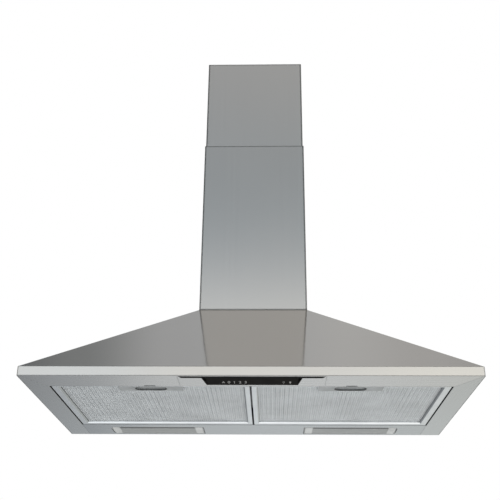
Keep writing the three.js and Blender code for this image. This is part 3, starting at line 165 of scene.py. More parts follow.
FLOOR_DROP = 3.0  # rim underside to the floor, far enough for views from below
FLOOR_HALF = 14.0  # half of its side

# Brightness of the room by the height of the direction, from straight down to straight up: in front
# of the hood, with a bright band above the horizon and a dark one above that, which the chimney
# mirrors, and behind it.
ROOM_FRONT = (
    (-1.0, 1.25),
    (-0.85, 1.15),
    (-0.6, 0.8),
    (-0.2, 0.85),
    (0.0, 1.0),
    (0.3, (1.11, 1.09, 1.04)),
    (0.365, 0.89),
    (0.4, (0.6, 0.635, 0.66)),
    (0.44, (0.44, 0.485, 0.515)),
    (0.5, (0.425, 0.455, 0.475)),
    (0.62, (0.525, 0.515, 0.505)),
    (0.85, (0.82, 0.78, 0.74)),
    (1.0, 0.7),
)
ROOM_BACK = (
    (-1.0, 1.25),
    (-0.85, 1.1),
    (-0.6, 0.7),
    (-0.32, (0.7, 0.71, 0.71)),
    (-0.2, (0.6, 0.655, 0.68)),
    (0.0, 1.3),
    (0.3, 0.8),
    (0.6, 0.54),
    (0.8, 0.5),
    (0.92, 0.52),
    (1.0, 0.7),
)
# How much of that is left, from the left to the right: in front of the hood, behind it below the
# horizon, and behind it high up.
ACROSS_FRONT = (
    (-1.0, 0.85),
    (-0.22, (0.96, 1.0, 1.05)),
    (-0.07, 1.0),
    (0.07, 1.0),
    (0.2, (1.08, 1.07, 1.04)),
    (1.0, 1.0),
)
ACROSS_LOW = (
    (-1.0, 0.3),
    (-0.33, (0.36, 0.37, 0.39)),
    (-0.22, (0.6, 0.61, 0.63)),
    (-0.12, 0.97),
    (0.05, 1.05),
    (0.3, (1.0, 0.99, 0.94)),
    (1.0, 0.8),
)
ACROSS_HIGH = (
    (-1.0, 0.25),
    (-0.33, (0.27, 0.285, 0.305)),
    (-0.22, (0.53, 0.54, 0.54)),
    (-0.12, 0.94),
    (0.0, 1.02),
    (0.09, (1.12, 1.1, 1.07)),
    (0.18, (1.03, 1.0, 0.965)),
    (0.3, (0.85, 0.83, 0.8)),
    (1.0, 0.8),
)
ROOM_PEAK = 1.3  # colour ramps hold levels up to 1


def make_world():
    """Plain white to the camera, and to every other ray a soft room."""
    world = bpy.data.worlds.new("studio")
    bpy.context.scene.world = world
    world.use_nodes = True
    world.node_tree.nodes.clear()
    graph = Graph(world.node_tree)
    split = graph.node("ShaderNodeSeparateXYZ")
    graph.feed(split.inputs[0], graph.node("ShaderNodeTexCoord").outputs["Generated"])
    across, back, height = split.outputs
    high_up = graph.ramp(height, 0, 1, 0.1, 0.5)
    low, high = (graph.stops(across, levels, ROOM_PEAK) for levels in (ACROSS_LOW, ACROSS_HIGH))
    behind = graph.times(
        graph.stops(height, ROOM_BACK, ROOM_PEAK),
        graph.blend(high_up, low, high),
    )
    front = graph.times(
        graph.stops(height, ROOM_FRONT, ROOM_PEAK),
        graph.stops(across, ACROSS_FRONT, ROOM_PEAK),
    )
    lit = graph.node("ShaderNodeBackground")
    lit.inputs["Strength"].default_value = ROOM_PEAK**2  # two curves, each divided by the peak
    graph.feed(lit.inputs["Color"], graph.blend(graph.ramp(back, 0, 1, -0.2, 0.3), front, behind))
    seen = graph.node("ShaderNodeBackground")
    seen.inputs["Color"].default_value = (1, 1, 1, 1)
    pick = graph.node("ShaderNodeMixShader")
    graph.feed(pick.inputs[0], graph.node("ShaderNodeLightPath").outputs["Is Camera Ray"])
    graph.feed(pick.inputs[1], lit.outputs[0])
    graph.feed(pick.inputs[2], seen.outputs[0])
    graph.feed(graph.node("ShaderNodeOutputWorld").inputs["Surface"], pick.outputs[0])


def softbox(name, place, target, size, power):
    """A large lamp that lights the matt surfaces and isn't mirrored in the steel."""
    data = bpy.data.lights.new(name, "AREA")
    data.shape = "RECTANGLE"
    data.size, data.size_y = size
    data.energy = power
    light = bpy.data.objects.new(name, data)
    light.location = place
    light.rotation_mode = "QUATERNION"
    light.rotation_quaternion = (Vector(target) - Vector(place)).to_track_quat("-Z", "Y")
    light.visible_glossy = False
    bpy.context.collection.objects.link(light)


# ---------------------------------------------------------------- materials

BEVEL_SAMPLES = 6


class Surface(Graph):
    """A procedural Principled material, built up call by call, in object coordinates in metres."""

    def __init__(self, name, color, metallic=0.0, roughness=0.5, **sockets):
        self.material = bpy.data.materials.new(name)
        self.material.use_nodes = True
        super().__init__(self.material.node_tree)
        self.shader = self.tree.nodes["Principled BSDF"]
        self.shader.inputs["Base Color"].default_value = (*color, 1)
        self.shader.inputs["Metallic"].default_value = metallic
        self.shader.inputs["Roughness"].default_value = roughness
        for key, value in sockets.items():
            self.shader.inputs[key.replace("_", " ")].default_value = value
        self.coords = self.node("ShaderNodeTexCoord").outputs["Object"]
        self.normal = None

    def scaled(self, scale):
        """The coordinates times a scale, which is one number or one for each axis."""
        mapping = self.node("ShaderNodeMapping")
        mapping.inputs["Scale"].default_value = scale if isinstance(scale, tuple) else (scale,) * 3
        self.feed(mapping.inputs["Vector"], self.coords)
        return mapping.outputs[0]

    def noise(self, scale, detail=2.0, rough=0.5, distortion=0.0):
        """Noise whose period along each axis is one over its scale, in metres."""
        made = self.node("ShaderNodeTexNoise")
        made.inputs["Scale"].default_value = 1.0
        made.inputs["Detail"].default_value = detail
        made.inputs["Roughness"].default_value = rough
        made.inputs["Distortion"].default_value = distortion
        self.feed(made.inputs["Vector"], self.scaled(scale))
        return made.outputs["Fac"]

    def cells(self, scale):
        made = self.node("ShaderNodeTexVoronoi")
        made.inputs["Scale"].default_value = 1.0
        self.feed(made.inputs["Vector"], self.scaled(scale))
        return made

    def color_from(self, socket):
        self.feed(self.shader.inputs["Base Color"], socket)

    def roughness_from(self, value, low, high, start=0.3, end=0.7):
        self.feed(self.shader.inputs["Roughness"], self.ramp(value, low, high, start, end))

    def brushed_across(self, direction):
        """Spreads reflections along this object direction, which is across the grain."""
        made = self.node("ShaderNodeVectorTransform", vector_type="VECTOR")
        made.convert_from, made.convert_to = "OBJECT", "WORLD"
        made.inputs[0].default_value = direction
        self.feed(self.shader.inputs["Tangent"], made.outputs[0])

    def face_direction(self):
        """The flat normal's X, Y and Z in the object's own directions."""
        made = self.node("ShaderNodeVectorTransform", vector_type="NORMAL")
        made.convert_from, made.convert_to = "WORLD", "OBJECT"
        self.feed(made.inputs[0], self.node("ShaderNodeNewGeometry").outputs["True Normal"])
        split = self.node("ShaderNodeSeparateXYZ")
        self.feed(split.inputs[0], made.outputs[0])
        return split.outputs

    def sideways(self):
        """1 on faces that look to the left or right of the object, 0 on all others."""
        return self.ramp(self.math("ABSOLUTE", self.face_direction()[0]), 0, 1, 0.4, 0.6)

    def downwards(self):
        """1 on faces that look down, 0 on all others."""
        return self.ramp(self.face_direction()[2], 1, 0, -0.5, -0.3)

    def soft_edges(self, radius):
        """Shades each sharp edge as if it were rounded to this radius."""
        made = self.node("ShaderNodeBevel", samples=BEVEL_SAMPLES)
        made.inputs["Radius"].default_value = radius
        self.normal = made.outputs[0]
        self.feed(self.shader.inputs["Normal"], self.normal)

    def folds(self, radius):
        """1 within this distance of a folded edge, 0 on the flat sheet."""
        soft = self.node("ShaderNodeBevel", samples=BEVEL_SAMPLES)
        soft.inputs["Radius"].default_value = radius
        flat = self.node("ShaderNodeNewGeometry").outputs["True Normal"]
        dot = self.node("ShaderNodeVectorMath", operation="DOT_PRODUCT")
        self.feed(dot.inputs[0], soft.outputs[0])
        self.feed(dot.inputs[1], flat)
        return self.ramp(dot.outputs["Value"], 1, 0, 0.93, 0.995)

    def bump(self, height, distance, strength=1.0):
        made = self.node("ShaderNodeBump")
        made.inputs["Strength"].default_value = strength
        made.inputs["Distance"].default_value = distance
        self.feed(made.inputs["Height"], height)
        if self.normal:
            self.feed(made.inputs["Normal"], self.normal)
        self.normal = made.outputs[0]
        self.feed(self.shader.inputs["Normal"], self.normal)


def dress(surface, *names):
    for name in names:
        slots = NODES[name].data.materials
        slots.clear()
        slots.append(surface.material)


def darker(color, factor):
    return tuple(c * factor for c in color)


GRAIN_SHADE = 0.012  # share by which the grain is lighter or darker than the steel
GRAIN_POLISH = 0.02  # and rougher or smoother
STEEL_EDGE = 0.8 * MM


def brushed_steel(
    name, color, roughness, grain, across, fold_shade=0.3, fold_shade_width=2.4 * MM, mill_inside=False
):
    """Stainless sheet: directional grain, faint wiping smears, and painted shade along the folds.

    The painted shade along the folds is the colour times the fold factor. With mill_inside, faces
    that look down have the dull finish of the rolling mill.
    """
    made = Surface(name, color, metallic=1.0, roughness=roughness, Anisotropic=0.8)
    streaks = made.noise(grain, detail=3, rough=0.65)
    broad = made.noise(tuple(s * 0.1 for s in grain), detail=2)
    smears = made.noise((5, 5, 4), detail=4, rough=0.6, distortion=0.6)
    tone = made.ramp(made.mix(0.6, broad, streaks), 0, 1, 0.35, 0.65)
    sheet = made.blend(tone, darker(color, 1 - GRAIN_SHADE), darker(color, 1 + GRAIN_SHADE))
    # Painted shade: within the fold width of each folded edge the colour darkens by the fold
    # factor.
    made.color_from(made.blend(made.folds(fold_shade_width), sheet, darker(color, fold_shade)))
    grainy = made.ramp(streaks, roughness - GRAIN_POLISH, roughness + GRAIN_POLISH)
    smeared = made.ramp(smears, roughness + 0.01, roughness + 0.05, 0.35, 0.75)
    wiped = made.mix(made.ramp(smears, 0.0, 0.6, 0.4, 0.8), grainy, smeared)
    if mill_inside:
        wiped = made.mix(made.downwards(), wiped, made.ramp(smears, 0.42, 0.55))
    made.feed(made.shader.inputs["Roughness"], wiped)
    made.brushed_across(across)
    made.soft_edges(STEEL_EDGE)
    made.bump(streaks, 0.02 * MM, 0.12)
    return made


def galvanised(name):
    """Zinc-coated sheet with its crystals, each of a slightly different grey."""
    made = Surface(name, (0.55, 0.57, 0.58), metallic=0.9, roughness=0.45)
    spangle = made.cells(90)
    shade = made.ramp(spangle.outputs["Color"], 0, 1, 0, 1)
    made.color_from(made.blend(shade, (0.44, 0.46, 0.48), (0.6, 0.62, 0.63)))
    made.roughness_from(spangle.outputs["Distance"], 0.36, 0.55, 0, 0.9)
    made.soft_edges(0.5 * MM)
    made.bump(made.noise(300, detail=2), 0.05 * MM, 0.3)
    return made


def moulded(name, color, roughness, grain=900, depth=0.04, **sockets):
    """Injection-moulded plastic with a fine spark-eroded texture."""
    made = Surface(name, color, roughness=roughness, **sockets)
    texture = made.noise(grain, detail=2)
    shade = made.noise(30, detail=3)
    light = tuple(min(1.0, c * 1.12 + 0.004) for c in color)
    made.color_from(made.blend(made.ramp(shade, 0, 1), darker(color, 0.85), light))
    made.roughness_from(texture, roughness - 0.06, roughness + 0.08)
    made.soft_edges(0.4 * MM)
    made.bump(texture, depth * MM, 0.4)
    return made


def aluminium(name, color, roughness, grain, side_shade=1.0):
    """Aluminium with lines along the grain, dull patches and, with the side factor below 1, painted
    shade on faces that look to the left or right.
    """
    made = Surface(name, color, metallic=1.0, roughness=roughness)
    streaks = made.noise(grain, detail=3, rough=0.6)
    dull = made.noise(14, detail=4, rough=0.6)
    patchy = made.blend(made.ramp(dull, 0, 1, 0.35, 0.7), color, darker(color, 0.88))
    # Painted shade: faces that look to the left or right are darker by the side factor.
    if side_shade < 1:
        patchy = made.blend(made.sideways(), patchy, darker(color, side_shade))
    made.color_from(patchy)
    made.roughness_from(streaks, roughness - 0.06, roughness + 0.1)
    made.soft_edges(0.5 * MM)
    made.bump(streaks, 0.03 * MM, 0.4)
    return made


def lens_material():
    """Frosted polycarbonate over fine prisms that run along the lens."""
    made = Surface(
        "lens_frost", (0.6, 0.63, 0.63), roughness=0.35, Transmission_Weight=0.35, IOR=1.49
    )
    prisms = made.noise((6, 420, 6), detail=1)
    made.color_from(made.blend(made.ramp(prisms, 0, 1), (0.4, 0.42, 0.42), (0.6, 0.62, 0.61)))
    made.roughness_from(made.noise(200), 0.28, 0.42)
    made.soft_edges(0.5 * MM)
    made.bump(prisms, 0.2 * MM, 0.4)
    return made


def bulb_material():
    """Opal glass."""
    made = Surface("bulb_opal", (0.9, 0.89, 0.85), roughness=0.12, Subsurface_Weight=0.3)
    tone = made.ramp(made.noise(60), 0, 1)
    made.color_from(made.blend(tone, (0.85, 0.84, 0.8), (0.93, 0.92, 0.89)))
    made.roughness_from(made.noise(400), 0.08, 0.2)
    return made


def paper():
    """Matt background paper of the floor."""
    made = Surface("floor_paper", (0.9, 0.9, 0.89), roughness=0.7)
    made.roughness_from(made.noise(3, detail=3), 0.62, 0.78)
    return made


# Scales of the brushing along each axis: few changes along the grain, many across it.
GRAIN_X = (4, 1470, 1470)
GRAIN_Y = (1470, 4, 1470)
GRAIN_Z = (1730, 1730, 4)
STEEL = (0.6, 0.6, 0.592)
UPRIGHT = (0, 0, 1)
LEVEL = (1, 1, 0)  # along X on front faces, along Y on side faces
ALONG_X = (1, 0, 0)
ALONG_Y = (0, 1, 0)
COVER_ROUGHNESS = 0.24
COVER_FOLD_SHADE = {"fold_shade": 0.08, "fold_shade_width": 5 * MM}  # painted shade along the folded edges of the chimney covers
# painted shade along the folds of the members and the lamp panel under the canopy
MEMBER_FOLD_SHADE = {"fold_shade": 0.75, "fold_shade_width": MM}

UPPER_STEEL = brushed_steel(
    "upper_chimney_steel", STEEL, COVER_ROUGHNESS, GRAIN_Z, LEVEL, **COVER_FOLD_SHADE
)
LOWER_STEEL = brushed_steel(
    "lower_chimney_steel", darker(STEEL, 0.95), COVER_ROUGHNESS, GRAIN_Z, LEVEL, **COVER_FOLD_SHADE
)
CANOPY_STEEL = brushed_steel("canopy_steel", STEEL, 0.1, GRAIN_X, UPRIGHT, mill_inside=True)
# Painted light: the steel of the front member and the control plate is painted 13 % lighter than
# the sheet.
LIT_FRONT_STEEL = brushed_steel(
    "front_member_steel_painted_lighter", darker(STEEL, 1.13), 0.26, GRAIN_X, ALONG_Y, **MEMBER_FOLD_SHADE
)
PANEL_STEEL = brushed_steel(
    "lamp_panel_steel", (0.57, 0.595, 0.605), 0.28, GRAIN_X, ALONG_Y, **MEMBER_FOLD_SHADE
)
# Painted shade: the steel of the side members is painted 9 % darker than the sheet.
SHADED_SIDE_STEEL = brushed_steel(
    "side_member_steel_painted_darker", darker(STEEL, 0.91), 0.28, GRAIN_Y, ALONG_X, **MEMBER_FOLD_SHADE
)
ZINC = galvanised("zinc_sheet")
# Its faces that look to the left or right get painted shade.
RAIL_ALU = aluminium(
    "filter_rail_aluminium", (0.86, 0.885, 0.895), 0.34, (25, 1200, 1200), side_shade=0.52
)
MESH_ALU = aluminium("filter_sheet_aluminium", (0.77, 0.8, 0.81), 0.55, (1100, 30, 1100))
WEAVE_ALU = aluminium("expanded_mesh_aluminium", (0.97, 0.99, 1.0), 0.42, 300)
REFLECTOR_ALU = aluminium("reflector_aluminium", (0.78, 0.79, 0.8), 0.2, 300)
SCREW_STEEL = aluminium("screw_steel", (0.5, 0.5, 0.49), 0.3, 700)
GLOSS_BLACK = moulded("panel_black", (0.007, 0.0065, 0.0055), 0.3, Specular_IOR_Level=0.04)
# Painted shade: black for the shadowed gap in front of the switches.
GAP_SHADE_BLACK = moulded("control_gap_painted_shade", (0.004, 0.004, 0.004), 0.7, Specular_IOR_Level=0.05)
DARK_PLASTIC = moulded("fan_plastic", (0.035, 0.036, 0.04), 0.5)
GREY_PLASTIC = moulded("latch_plastic", (0.4, 0.42, 0.43), 0.42)
RIM_PLASTIC = moulded("latch_cup_plastic", (0.07, 0.073, 0.076), 0.45)
# Painted shade: dark grey for the shade along the inner edges of the filter side rails.
RAIL_EDGE_SHADE = moulded("rail_edge_painted_shade", (0.2, 0.21, 0.215), 0.6)
# Painted shade: black for the shadowed gaps beside the filters.
SIDE_GAP_SHADE = moulded("side_gap_painted_shade", (0.006, 0.006, 0.006), 0.8, 400, 0.2, Specular_IOR_Level=0.1)
PALE_PLASTIC = moulded("lens_end_plastic", (0.74, 0.76, 0.76), 0.4)
# Painted shade: dark grey for the shade along the front edges of the lamp lenses.
LENS_SHADE_BAND = moulded("lens_band_plastic", (0.1, 0.104, 0.104), 0.5)
WHITE_PLASTIC = moulded("socket_plastic", (0.75, 0.74, 0.7), 0.45)
BOARD = moulded("board_lacquer", (0.02, 0.12, 0.05), 0.35, grain=200)
MOTOR = moulded("motor_paint", (0.3, 0.31, 0.32), 0.4, Metallic=0.6)
PRINT = moulded("symbol_print", (0.42, 0.42, 0.41), 0.55)
LENS = lens_material()
BULB = bulb_material()

dress(UPPER_STEEL, "chimney_upper")
dress(LOWER_STEEL, "chimney_lower")
dress(CANOPY_STEEL, "canopy_shell")
dress(LIT_FRONT_STEEL, "bottom_frame", "control_plate")
dress(PANEL_STEEL, "lamp_panel")
dress(SHADED_SIDE_STEEL, *both("bottom_frame"))
dress(ZINC, "back_panel", "motor_spider", "chimney_bracket", *both("scroll"), *both("chimney_foot"))
dress(RAIL_ALU, *both("filter_frame"))
dress(MESH_ALU, *both("filter_mesh"))
dress(REFLECTOR_ALU, *both("lamp_reflector"), "motor_capacitor", "motor_shaft", "damper_spindle")
dress(GLOSS_BLACK, "control_housing", "fan_slider", "lamp_slider")
dress(DARK_PLASTIC, "impeller", "impeller_left", "outlet_collar")
dress(DARK_PLASTIC, "damper_flap_rear", "damper_flap_front")
dress(DARK_PLASTIC, "electrics_box", "electrics_lid", "cable_gland")
dress(GREY_PLASTIC, *both("latch_housing"), *both("latch_slide"))
dress(WHITE_PLASTIC, *both("lamp_socket"), "terminal_block")
dress(BOARD, "switch_board")
dress(MOTOR, "motor_body")
dress(LENS, *both("lamp_lens"))
dress(BULB, *both("lamp_bulb"))

# ---------------------------------------------------------------- round CAD pieces

SMOOTH_ANGLE = math.radians(32)  # facets that meet at less than this are one round surface
WELD_DISTANCE = 0.001 * MM


def round_shading():
    """A modifier tree that joins the facets of a CAD mesh and shades round surfaces as round."""
    tree = bpy.data.node_groups.new("round_shading", "GeometryNodeTree")
    for direction in ("INPUT", "OUTPUT"):
        tree.interface.new_socket("Geometry", in_out=direction, socket_type="NodeSocketGeometry")
    graph = Graph(tree)
    weld = graph.node("GeometryNodeMergeByDistance")
    weld.inputs["Distance"].default_value = WELD_DISTANCE
    graph.feed(weld.inputs["Geometry"], graph.node("NodeGroupInput").outputs[0])
    plain = graph.node("GeometryNodeRemoveAttribute")
    plain.inputs["Name"].default_value = "custom_normal"
    graph.feed(plain.inputs["Geometry"], weld.outputs[0])
    smooth = graph.node("GeometryNodeSetShadeSmooth", domain="FACE")
    graph.feed(smooth.inputs["Geometry"], plain.outputs[0])
    bend = graph.node("FunctionNodeCompare", data_type="FLOAT", operation="LESS_THAN")
    angle = graph.node("GeometryNodeInputMeshEdgeAngle").outputs["Unsigned Angle"]
    graph.feed(bend.inputs[0], angle)
    bend.inputs[1].default_value = SMOOTH_ANGLE
    edges = graph.node("GeometryNodeSetShadeSmooth", domain="EDGE")
    graph.feed(edges.inputs["Geometry"], smooth.outputs[0])
    graph.feed(edges.inputs["Shade Smooth"], bend.outputs[0])
    graph.feed(graph.node("NodeGroupOutput").inputs[0], edges.outputs[0])
    return tree


ROUND_NODES = (
    *both("lamp_bulb"),
    *both("lamp_socket"),
    *both("scroll"),
    "impeller",
    "impeller_left",
    "motor_body",
    "motor_shaft",
    "motor_capacitor",
    "cable_gland",
    "outlet_collar",
    "damper_spindle",
)
ROUND = round_shading()
for name in ROUND_NODES:
    NODES[name].modifiers.new("round_shading", "NODES").node_group = ROUND

# ---------------------------------------------------------------- building pieces


def add_piece(name, vertices, faces, surface, body):
    """A new mesh piece that rides on a CAD body and takes the given finish."""
    mesh = bpy.data.meshes.new(name)
    mesh.from_pydata(vertices, [], faces)
    mesh.update()
    mesh.materials.append(surface.material)
    made = bpy.data.objects.new(name, mesh)
    bpy.context.collection.objects.link(made)
    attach(made, body)
    return made


class Solid:
    """Gathers closed shapes into one list of vertices and faces."""

    def __init__(self):
        self.vertices = []
        self.faces = []

    def loft(self, rings):
        """A closed skin over rings of equally many points, with a flat face at both ends."""
        base, count = len(self.vertices), len(rings[0])
        for ring in rings:
            self.vertices.extend(tuple(point) for point in ring)
        for row in range(len(rings) - 1):
            low, high = base + row * count, base + (row + 1) * count
            for i in range(count):
                j = (i + 1) % count
                self.faces.append((low + i, low + j, high + j, high + i))
        self.faces.append(tuple(reversed(range(base, base + count))))
        last = base + (len(rings) - 1) * count
        self.faces.append(tuple(range(last, last + count)))

    def plate(self, outline, low, high, place=None):
        """A flat plate with that outline, from low to high along Z of the placing matrix."""
        place = place or Matrix()
        self.loft([[place @ Vector((x, y, z)) for x, y in outline] for z in (low, high)])

    def add_to(self, name, surface, body):
        return add_piece(name, self.vertices, self.faces, surface, body)


def facing(point, outward, up=(0, 0, 1)):
    """Places local Z along outward at a point, with local Y as near to up as it can be."""
    z = Vector(outward).normalized()
    x = Vector(up).cross(z).normalized()
    turn = Matrix((x, z.cross(x), z)).transposed().to_4x4()
    return Matrix.Translation(point) @ turn


def arc(x, y, radius, start, end, steps):
    """Points on an arc, with its angles in degrees."""
    angles = [math.radians(start + (end - start) * i / steps) for i in range(steps + 1)]
    return [(x + radius * math.cos(a), y + radius * math.sin(a)) for a in angles]


def circle(x, y, radius, count, start=0):
    """Evenly spaced points round a circle, the first of them at that angle in degrees."""
    return arc(x, y, radius, start, start + 360 * (count - 1) / count, count - 1)


def rounded(x0, x1, y0, y1, radius, steps=5):
    """A rectangle with round corners."""
    corners = ((x1, y1, 0), (x0, y1, 90), (x0, y0, 180), (x1, y0, 270))
    outline = []
    for x, y, start in corners:
        cx = x - radius if x == x1 else x + radius
        cy = y - radius if y == y1 else y + radius
        outline += arc(cx, cy, radius, start, start + 90, steps)
    return outline


# ---------------------------------------------------------------- expanded mesh of the filters

CELL_LENGTH = 6.4 * MM  # front to back
CELL_WIDTH = 4.6 * MM
STRAND_WIDTH = 1.6 * MM
STRAND_THICK = 0.4 * MM
STRAND_LIFT = 0.5 * MM  # every second joint is pressed up
WEAVE_GAP = 0.1 * MM  # below the rippled sheet
LATCH_ROOM = 1.2 * MM  # round the latch plate
MESH_IN_GROOVE = 3.0 * MM  # edge of the mesh that is hidden in the rails
EDGE_SHADE_WIDTH = 1.3 * MM
EDGE_SHADE_DROP = 1.6 * MM  # below the rippled sheet
EDGE_SHADE_THICK = 0.4 * MM
STRAND_INSET = 0.3 * STRAND_WIDTH  # from the edge of a cell to the strand's middle line


def strand(solid, x, reach, start, end, z, flip):
    """One zigzag strand of expanded metal, from start to end along Y and reach to each side."""
    steps = round((end - start) / (CELL_LENGTH / 2))
    rings = []
    for i in range(steps + 1):
        swing = 1 if (i + flip) % 2 else -1
        y = start + (end - start) * i / steps
        low = z - STRAND_THICK - (STRAND_LIFT if i % 2 else 0)
        left = x + swing * reach - STRAND_WIDTH / 2
        right = left + STRAND_WIDTH
        high = low + STRAND_THICK
        rings.append([(left, y, low), (right, y, low), (right, y, high), (left, y, high)])
    solid.loft(rings)


def filter_weave(side):
    """Expanded-metal layer on the underside of the rippled sheet, cut out round the latch."""
    low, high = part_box(f"filter_mesh_{side}")
    latch_low, latch_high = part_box(f"latch_housing_{side}")
    front = low.y + MESH_IN_GROOVE
    rear = high.y - MESH_IN_GROOVE
    count = round((high.x - low.x - 2 * MESH_IN_GROOVE) / CELL_WIDTH)
    solid = Solid()
    for i in range(count):
        x = low.x + MESH_IN_GROOVE + (i + 0.5) * CELL_WIDTH
        beside = x < latch_low.x - LATCH_ROOM or x > latch_high.x + LATCH_ROOM
        start = front if beside else latch_high.y + LATCH_ROOM
        reach = CELL_WIDTH / 2 - STRAND_INSET
        strand(solid, x, reach, start, rear, low.z - WEAVE_GAP, i % 2)
    solid.add_to(f"filter_weave_{side}", WEAVE_ALU, f"filter_{side}")


def filter_beads(side):
    """Dark strips between the mesh and the two side rails, painted as the shade along the rails'
    inner edges.
    """
    low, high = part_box(f"filter_mesh_{side}")
    front, rear = low.y + MESH_IN_GROOVE, high.y - MESH_IN_GROOVE
    z = low.z - EDGE_SHADE_DROP
    solid = Solid()
    for x0 in (low.x + MESH_IN_GROOVE, high.x - MESH_IN_GROOVE - EDGE_SHADE_WIDTH):
        outline = rounded(x0, x0 + EDGE_SHADE_WIDTH, front, rear, 0.3 * EDGE_SHADE_WIDTH, 2)
        solid.plate(outline, z, z + EDGE_SHADE_THICK)
    solid.add_to(f"filter_beads_{side}", RAIL_EDGE_SHADE, f"filter_{side}")


for side in SIDES:
    filter_weave(side)
    filter_beads(side)

# ---------------------------------------------------------------- lamp lenses

LENS_PROUD = 0.25 * MM  # below the underside of the lens, and as far into it
PAD_LENGTH = 17 * MM  # the smooth ends
PAD_CORNER = 5 * MM
PAD_INSET = 2.5 * MM
SHADE_BAND_DEPTH = 11 * MM
SHADE_BAND_INSET = 1 * MM


def lens_trim(side):
    """Smooth pale ends printed thick on the frosted cover, and a dark band of painted shade along
    its front edge.
    """
    low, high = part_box(f"lamp_lens_{side}")
    bottom = low.z - LENS_PROUD
    top = low.z + LENS_PROUD
    ends = Solid()
    for x0 in (low.x + PAD_INSET, high.x - PAD_INSET - PAD_LENGTH):
        outline = rounded(x0, x0 + PAD_LENGTH, low.y + PAD_INSET, high.y - PAD_INSET, PAD_CORNER)
        ends.plate(outline, bottom, top)
    ends.add_to(f"lens_ends_{side}", PALE_PLASTIC, f"lens_{side}")
    # Painted shade: a dark band along the front edge of the lens.
    band = Solid()
    inset = PAD_INSET + PAD_LENGTH + PAD_INSET / 2
    front, rear = low.y + SHADE_BAND_INSET, low.y + SHADE_BAND_DEPTH
    outline = rounded(low.x + inset, high.x - inset, front, rear, SHADE_BAND_INSET)
    band.plate(outline, bottom, top)
    band.add_to(f"lens_band_{side}", LENS_SHADE_BAND, f"lens_{side}")


for side in SIDES:
    lens_trim(side)

# ---------------------------------------------------------------- painted shade at the controls, latches, and painted shade beside the filters

GAP_SHADE_DEPTH = 11 * MM
TRIM_PROUD = 0.2 * MM  # the cup rings below the latch plate, the painted gap shade into the control plate
CONTROL_PROUD = 0.05 * MM
GAP_SHADE_FRONT = 1 * MM  # front edge of the control plate to the painted gap shade
GAP_SHADE_SIDE = 1 * MM  # and its ends
GAP_SHADE_TAPER = 7 * MM
CUP_RING = 1.6 * MM
CUP_RING_RISE = 6 * TRIM_PROUD  # into the latch plate
CUP_WIDTH = 22 * MM
CUP_LENGTH = 64 * MM
GAP_STRIP_WIDTH = 3.3 * MM
GAP_STRIP_HEIGHT = 3.0 * MM
GAP_STRIP_RAISE = 0.5 * MM  # above the underside of the rail
GAP_STRIP_CLEARANCE = 0.1 * MM  # to the side member
GAP_STRIP_INSET = 2 * MM  # from the ends of the rail


def control_trim():
    """Black strip of painted shade for the gap in front of the switches, as wide as the control
    plate, with slanting ends.
    """
    low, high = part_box("control_plate")
    front = low.y + GAP_SHADE_FRONT
    rear = front + GAP_SHADE_DEPTH
    outline = (
        (low.x + GAP_SHADE_TAPER, rear),
        (low.x + GAP_SHADE_SIDE, front),
        (high.x - GAP_SHADE_SIDE, front),
        (high.x - GAP_SHADE_TAPER, rear),
    )
    solid = Solid()
    solid.plate(outline, low.z - CONTROL_PROUD, low.z + TRIM_PROUD)
    solid.add_to("control_trim", GAP_SHADE_BLACK, "hood")


def stadium(x, y, length, width, steps=10):
    """A slot with round ends, lying along X."""
    reach, radius = (length - width) / 2, width / 2
    right = arc(x + reach, y, radius, -90, 90, steps)
    return right + arc(x - reach, y, radius, 90, 270, steps)


def tube(solid, outer, inner, low, high):
    """A flat ring between two outlines of equally many points."""
    base, count = len(solid.vertices), len(outer)
    for ring, z in ((outer, low), (outer, high), (inner, high), (inner, low)):
        solid.vertices.extend((x, y, z) for x, y in ring)
    for row in range(4):
        one, two = base + row * count, base + (row + 1) % 4 * count
        for i in range(count):
            j = (i + 1) % count
            solid.faces.append((one + i, one + j, two + j, two + i))


def latch_ring(side):
    """Dark edge round the finger cup."""
    low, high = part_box(f"latch_housing_{side}")
    x, y = (low.x + high.x) / 2, (low.y + high.y) / 2
    solid = Solid()
    outer = stadium(x, y, CUP_LENGTH + CUP_RING, CUP_WIDTH + CUP_RING)
    inner = stadium(x, y, CUP_LENGTH - CUP_RING, CUP_WIDTH - CUP_RING)
    tube(solid, outer, inner, low.z - TRIM_PROUD, low.z + CUP_RING_RISE)
    solid.add_to(f"latch_cup_ring_{side}", RIM_PLASTIC, f"filter_{side}")


def filter_seals():
    """Black strips on the side members, beside the filters, painted as the shade of the gaps there.
    """
    solid = Solid()
    for side, sign in (("left", 1), ("right", -1)):
        low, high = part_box(f"bottom_frame_{side}")
        rail_low, rail_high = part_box(f"filter_frame_{side}")
        edge = high.x if side == "left" else low.x
        x0, x1 = sorted((edge + sign * GAP_STRIP_CLEARANCE, edge + sign * GAP_STRIP_WIDTH))
        z = rail_low.z + GAP_STRIP_RAISE
        front, rear = rail_low.y + GAP_STRIP_INSET, rail_high.y - GAP_STRIP_INSET
        outline = rounded(x0, x1, front, rear, GAP_STRIP_WIDTH / 3, 3)
        solid.plate(outline, z, z + GAP_STRIP_HEIGHT)
    solid.add_to("filter_side_gap_shade", SIDE_GAP_SHADE, "hood")


control_trim()
filter_seals()
for side in SIDES:
    latch_ring(side)

# ---------------------------------------------------------------- symbols of the slide switches

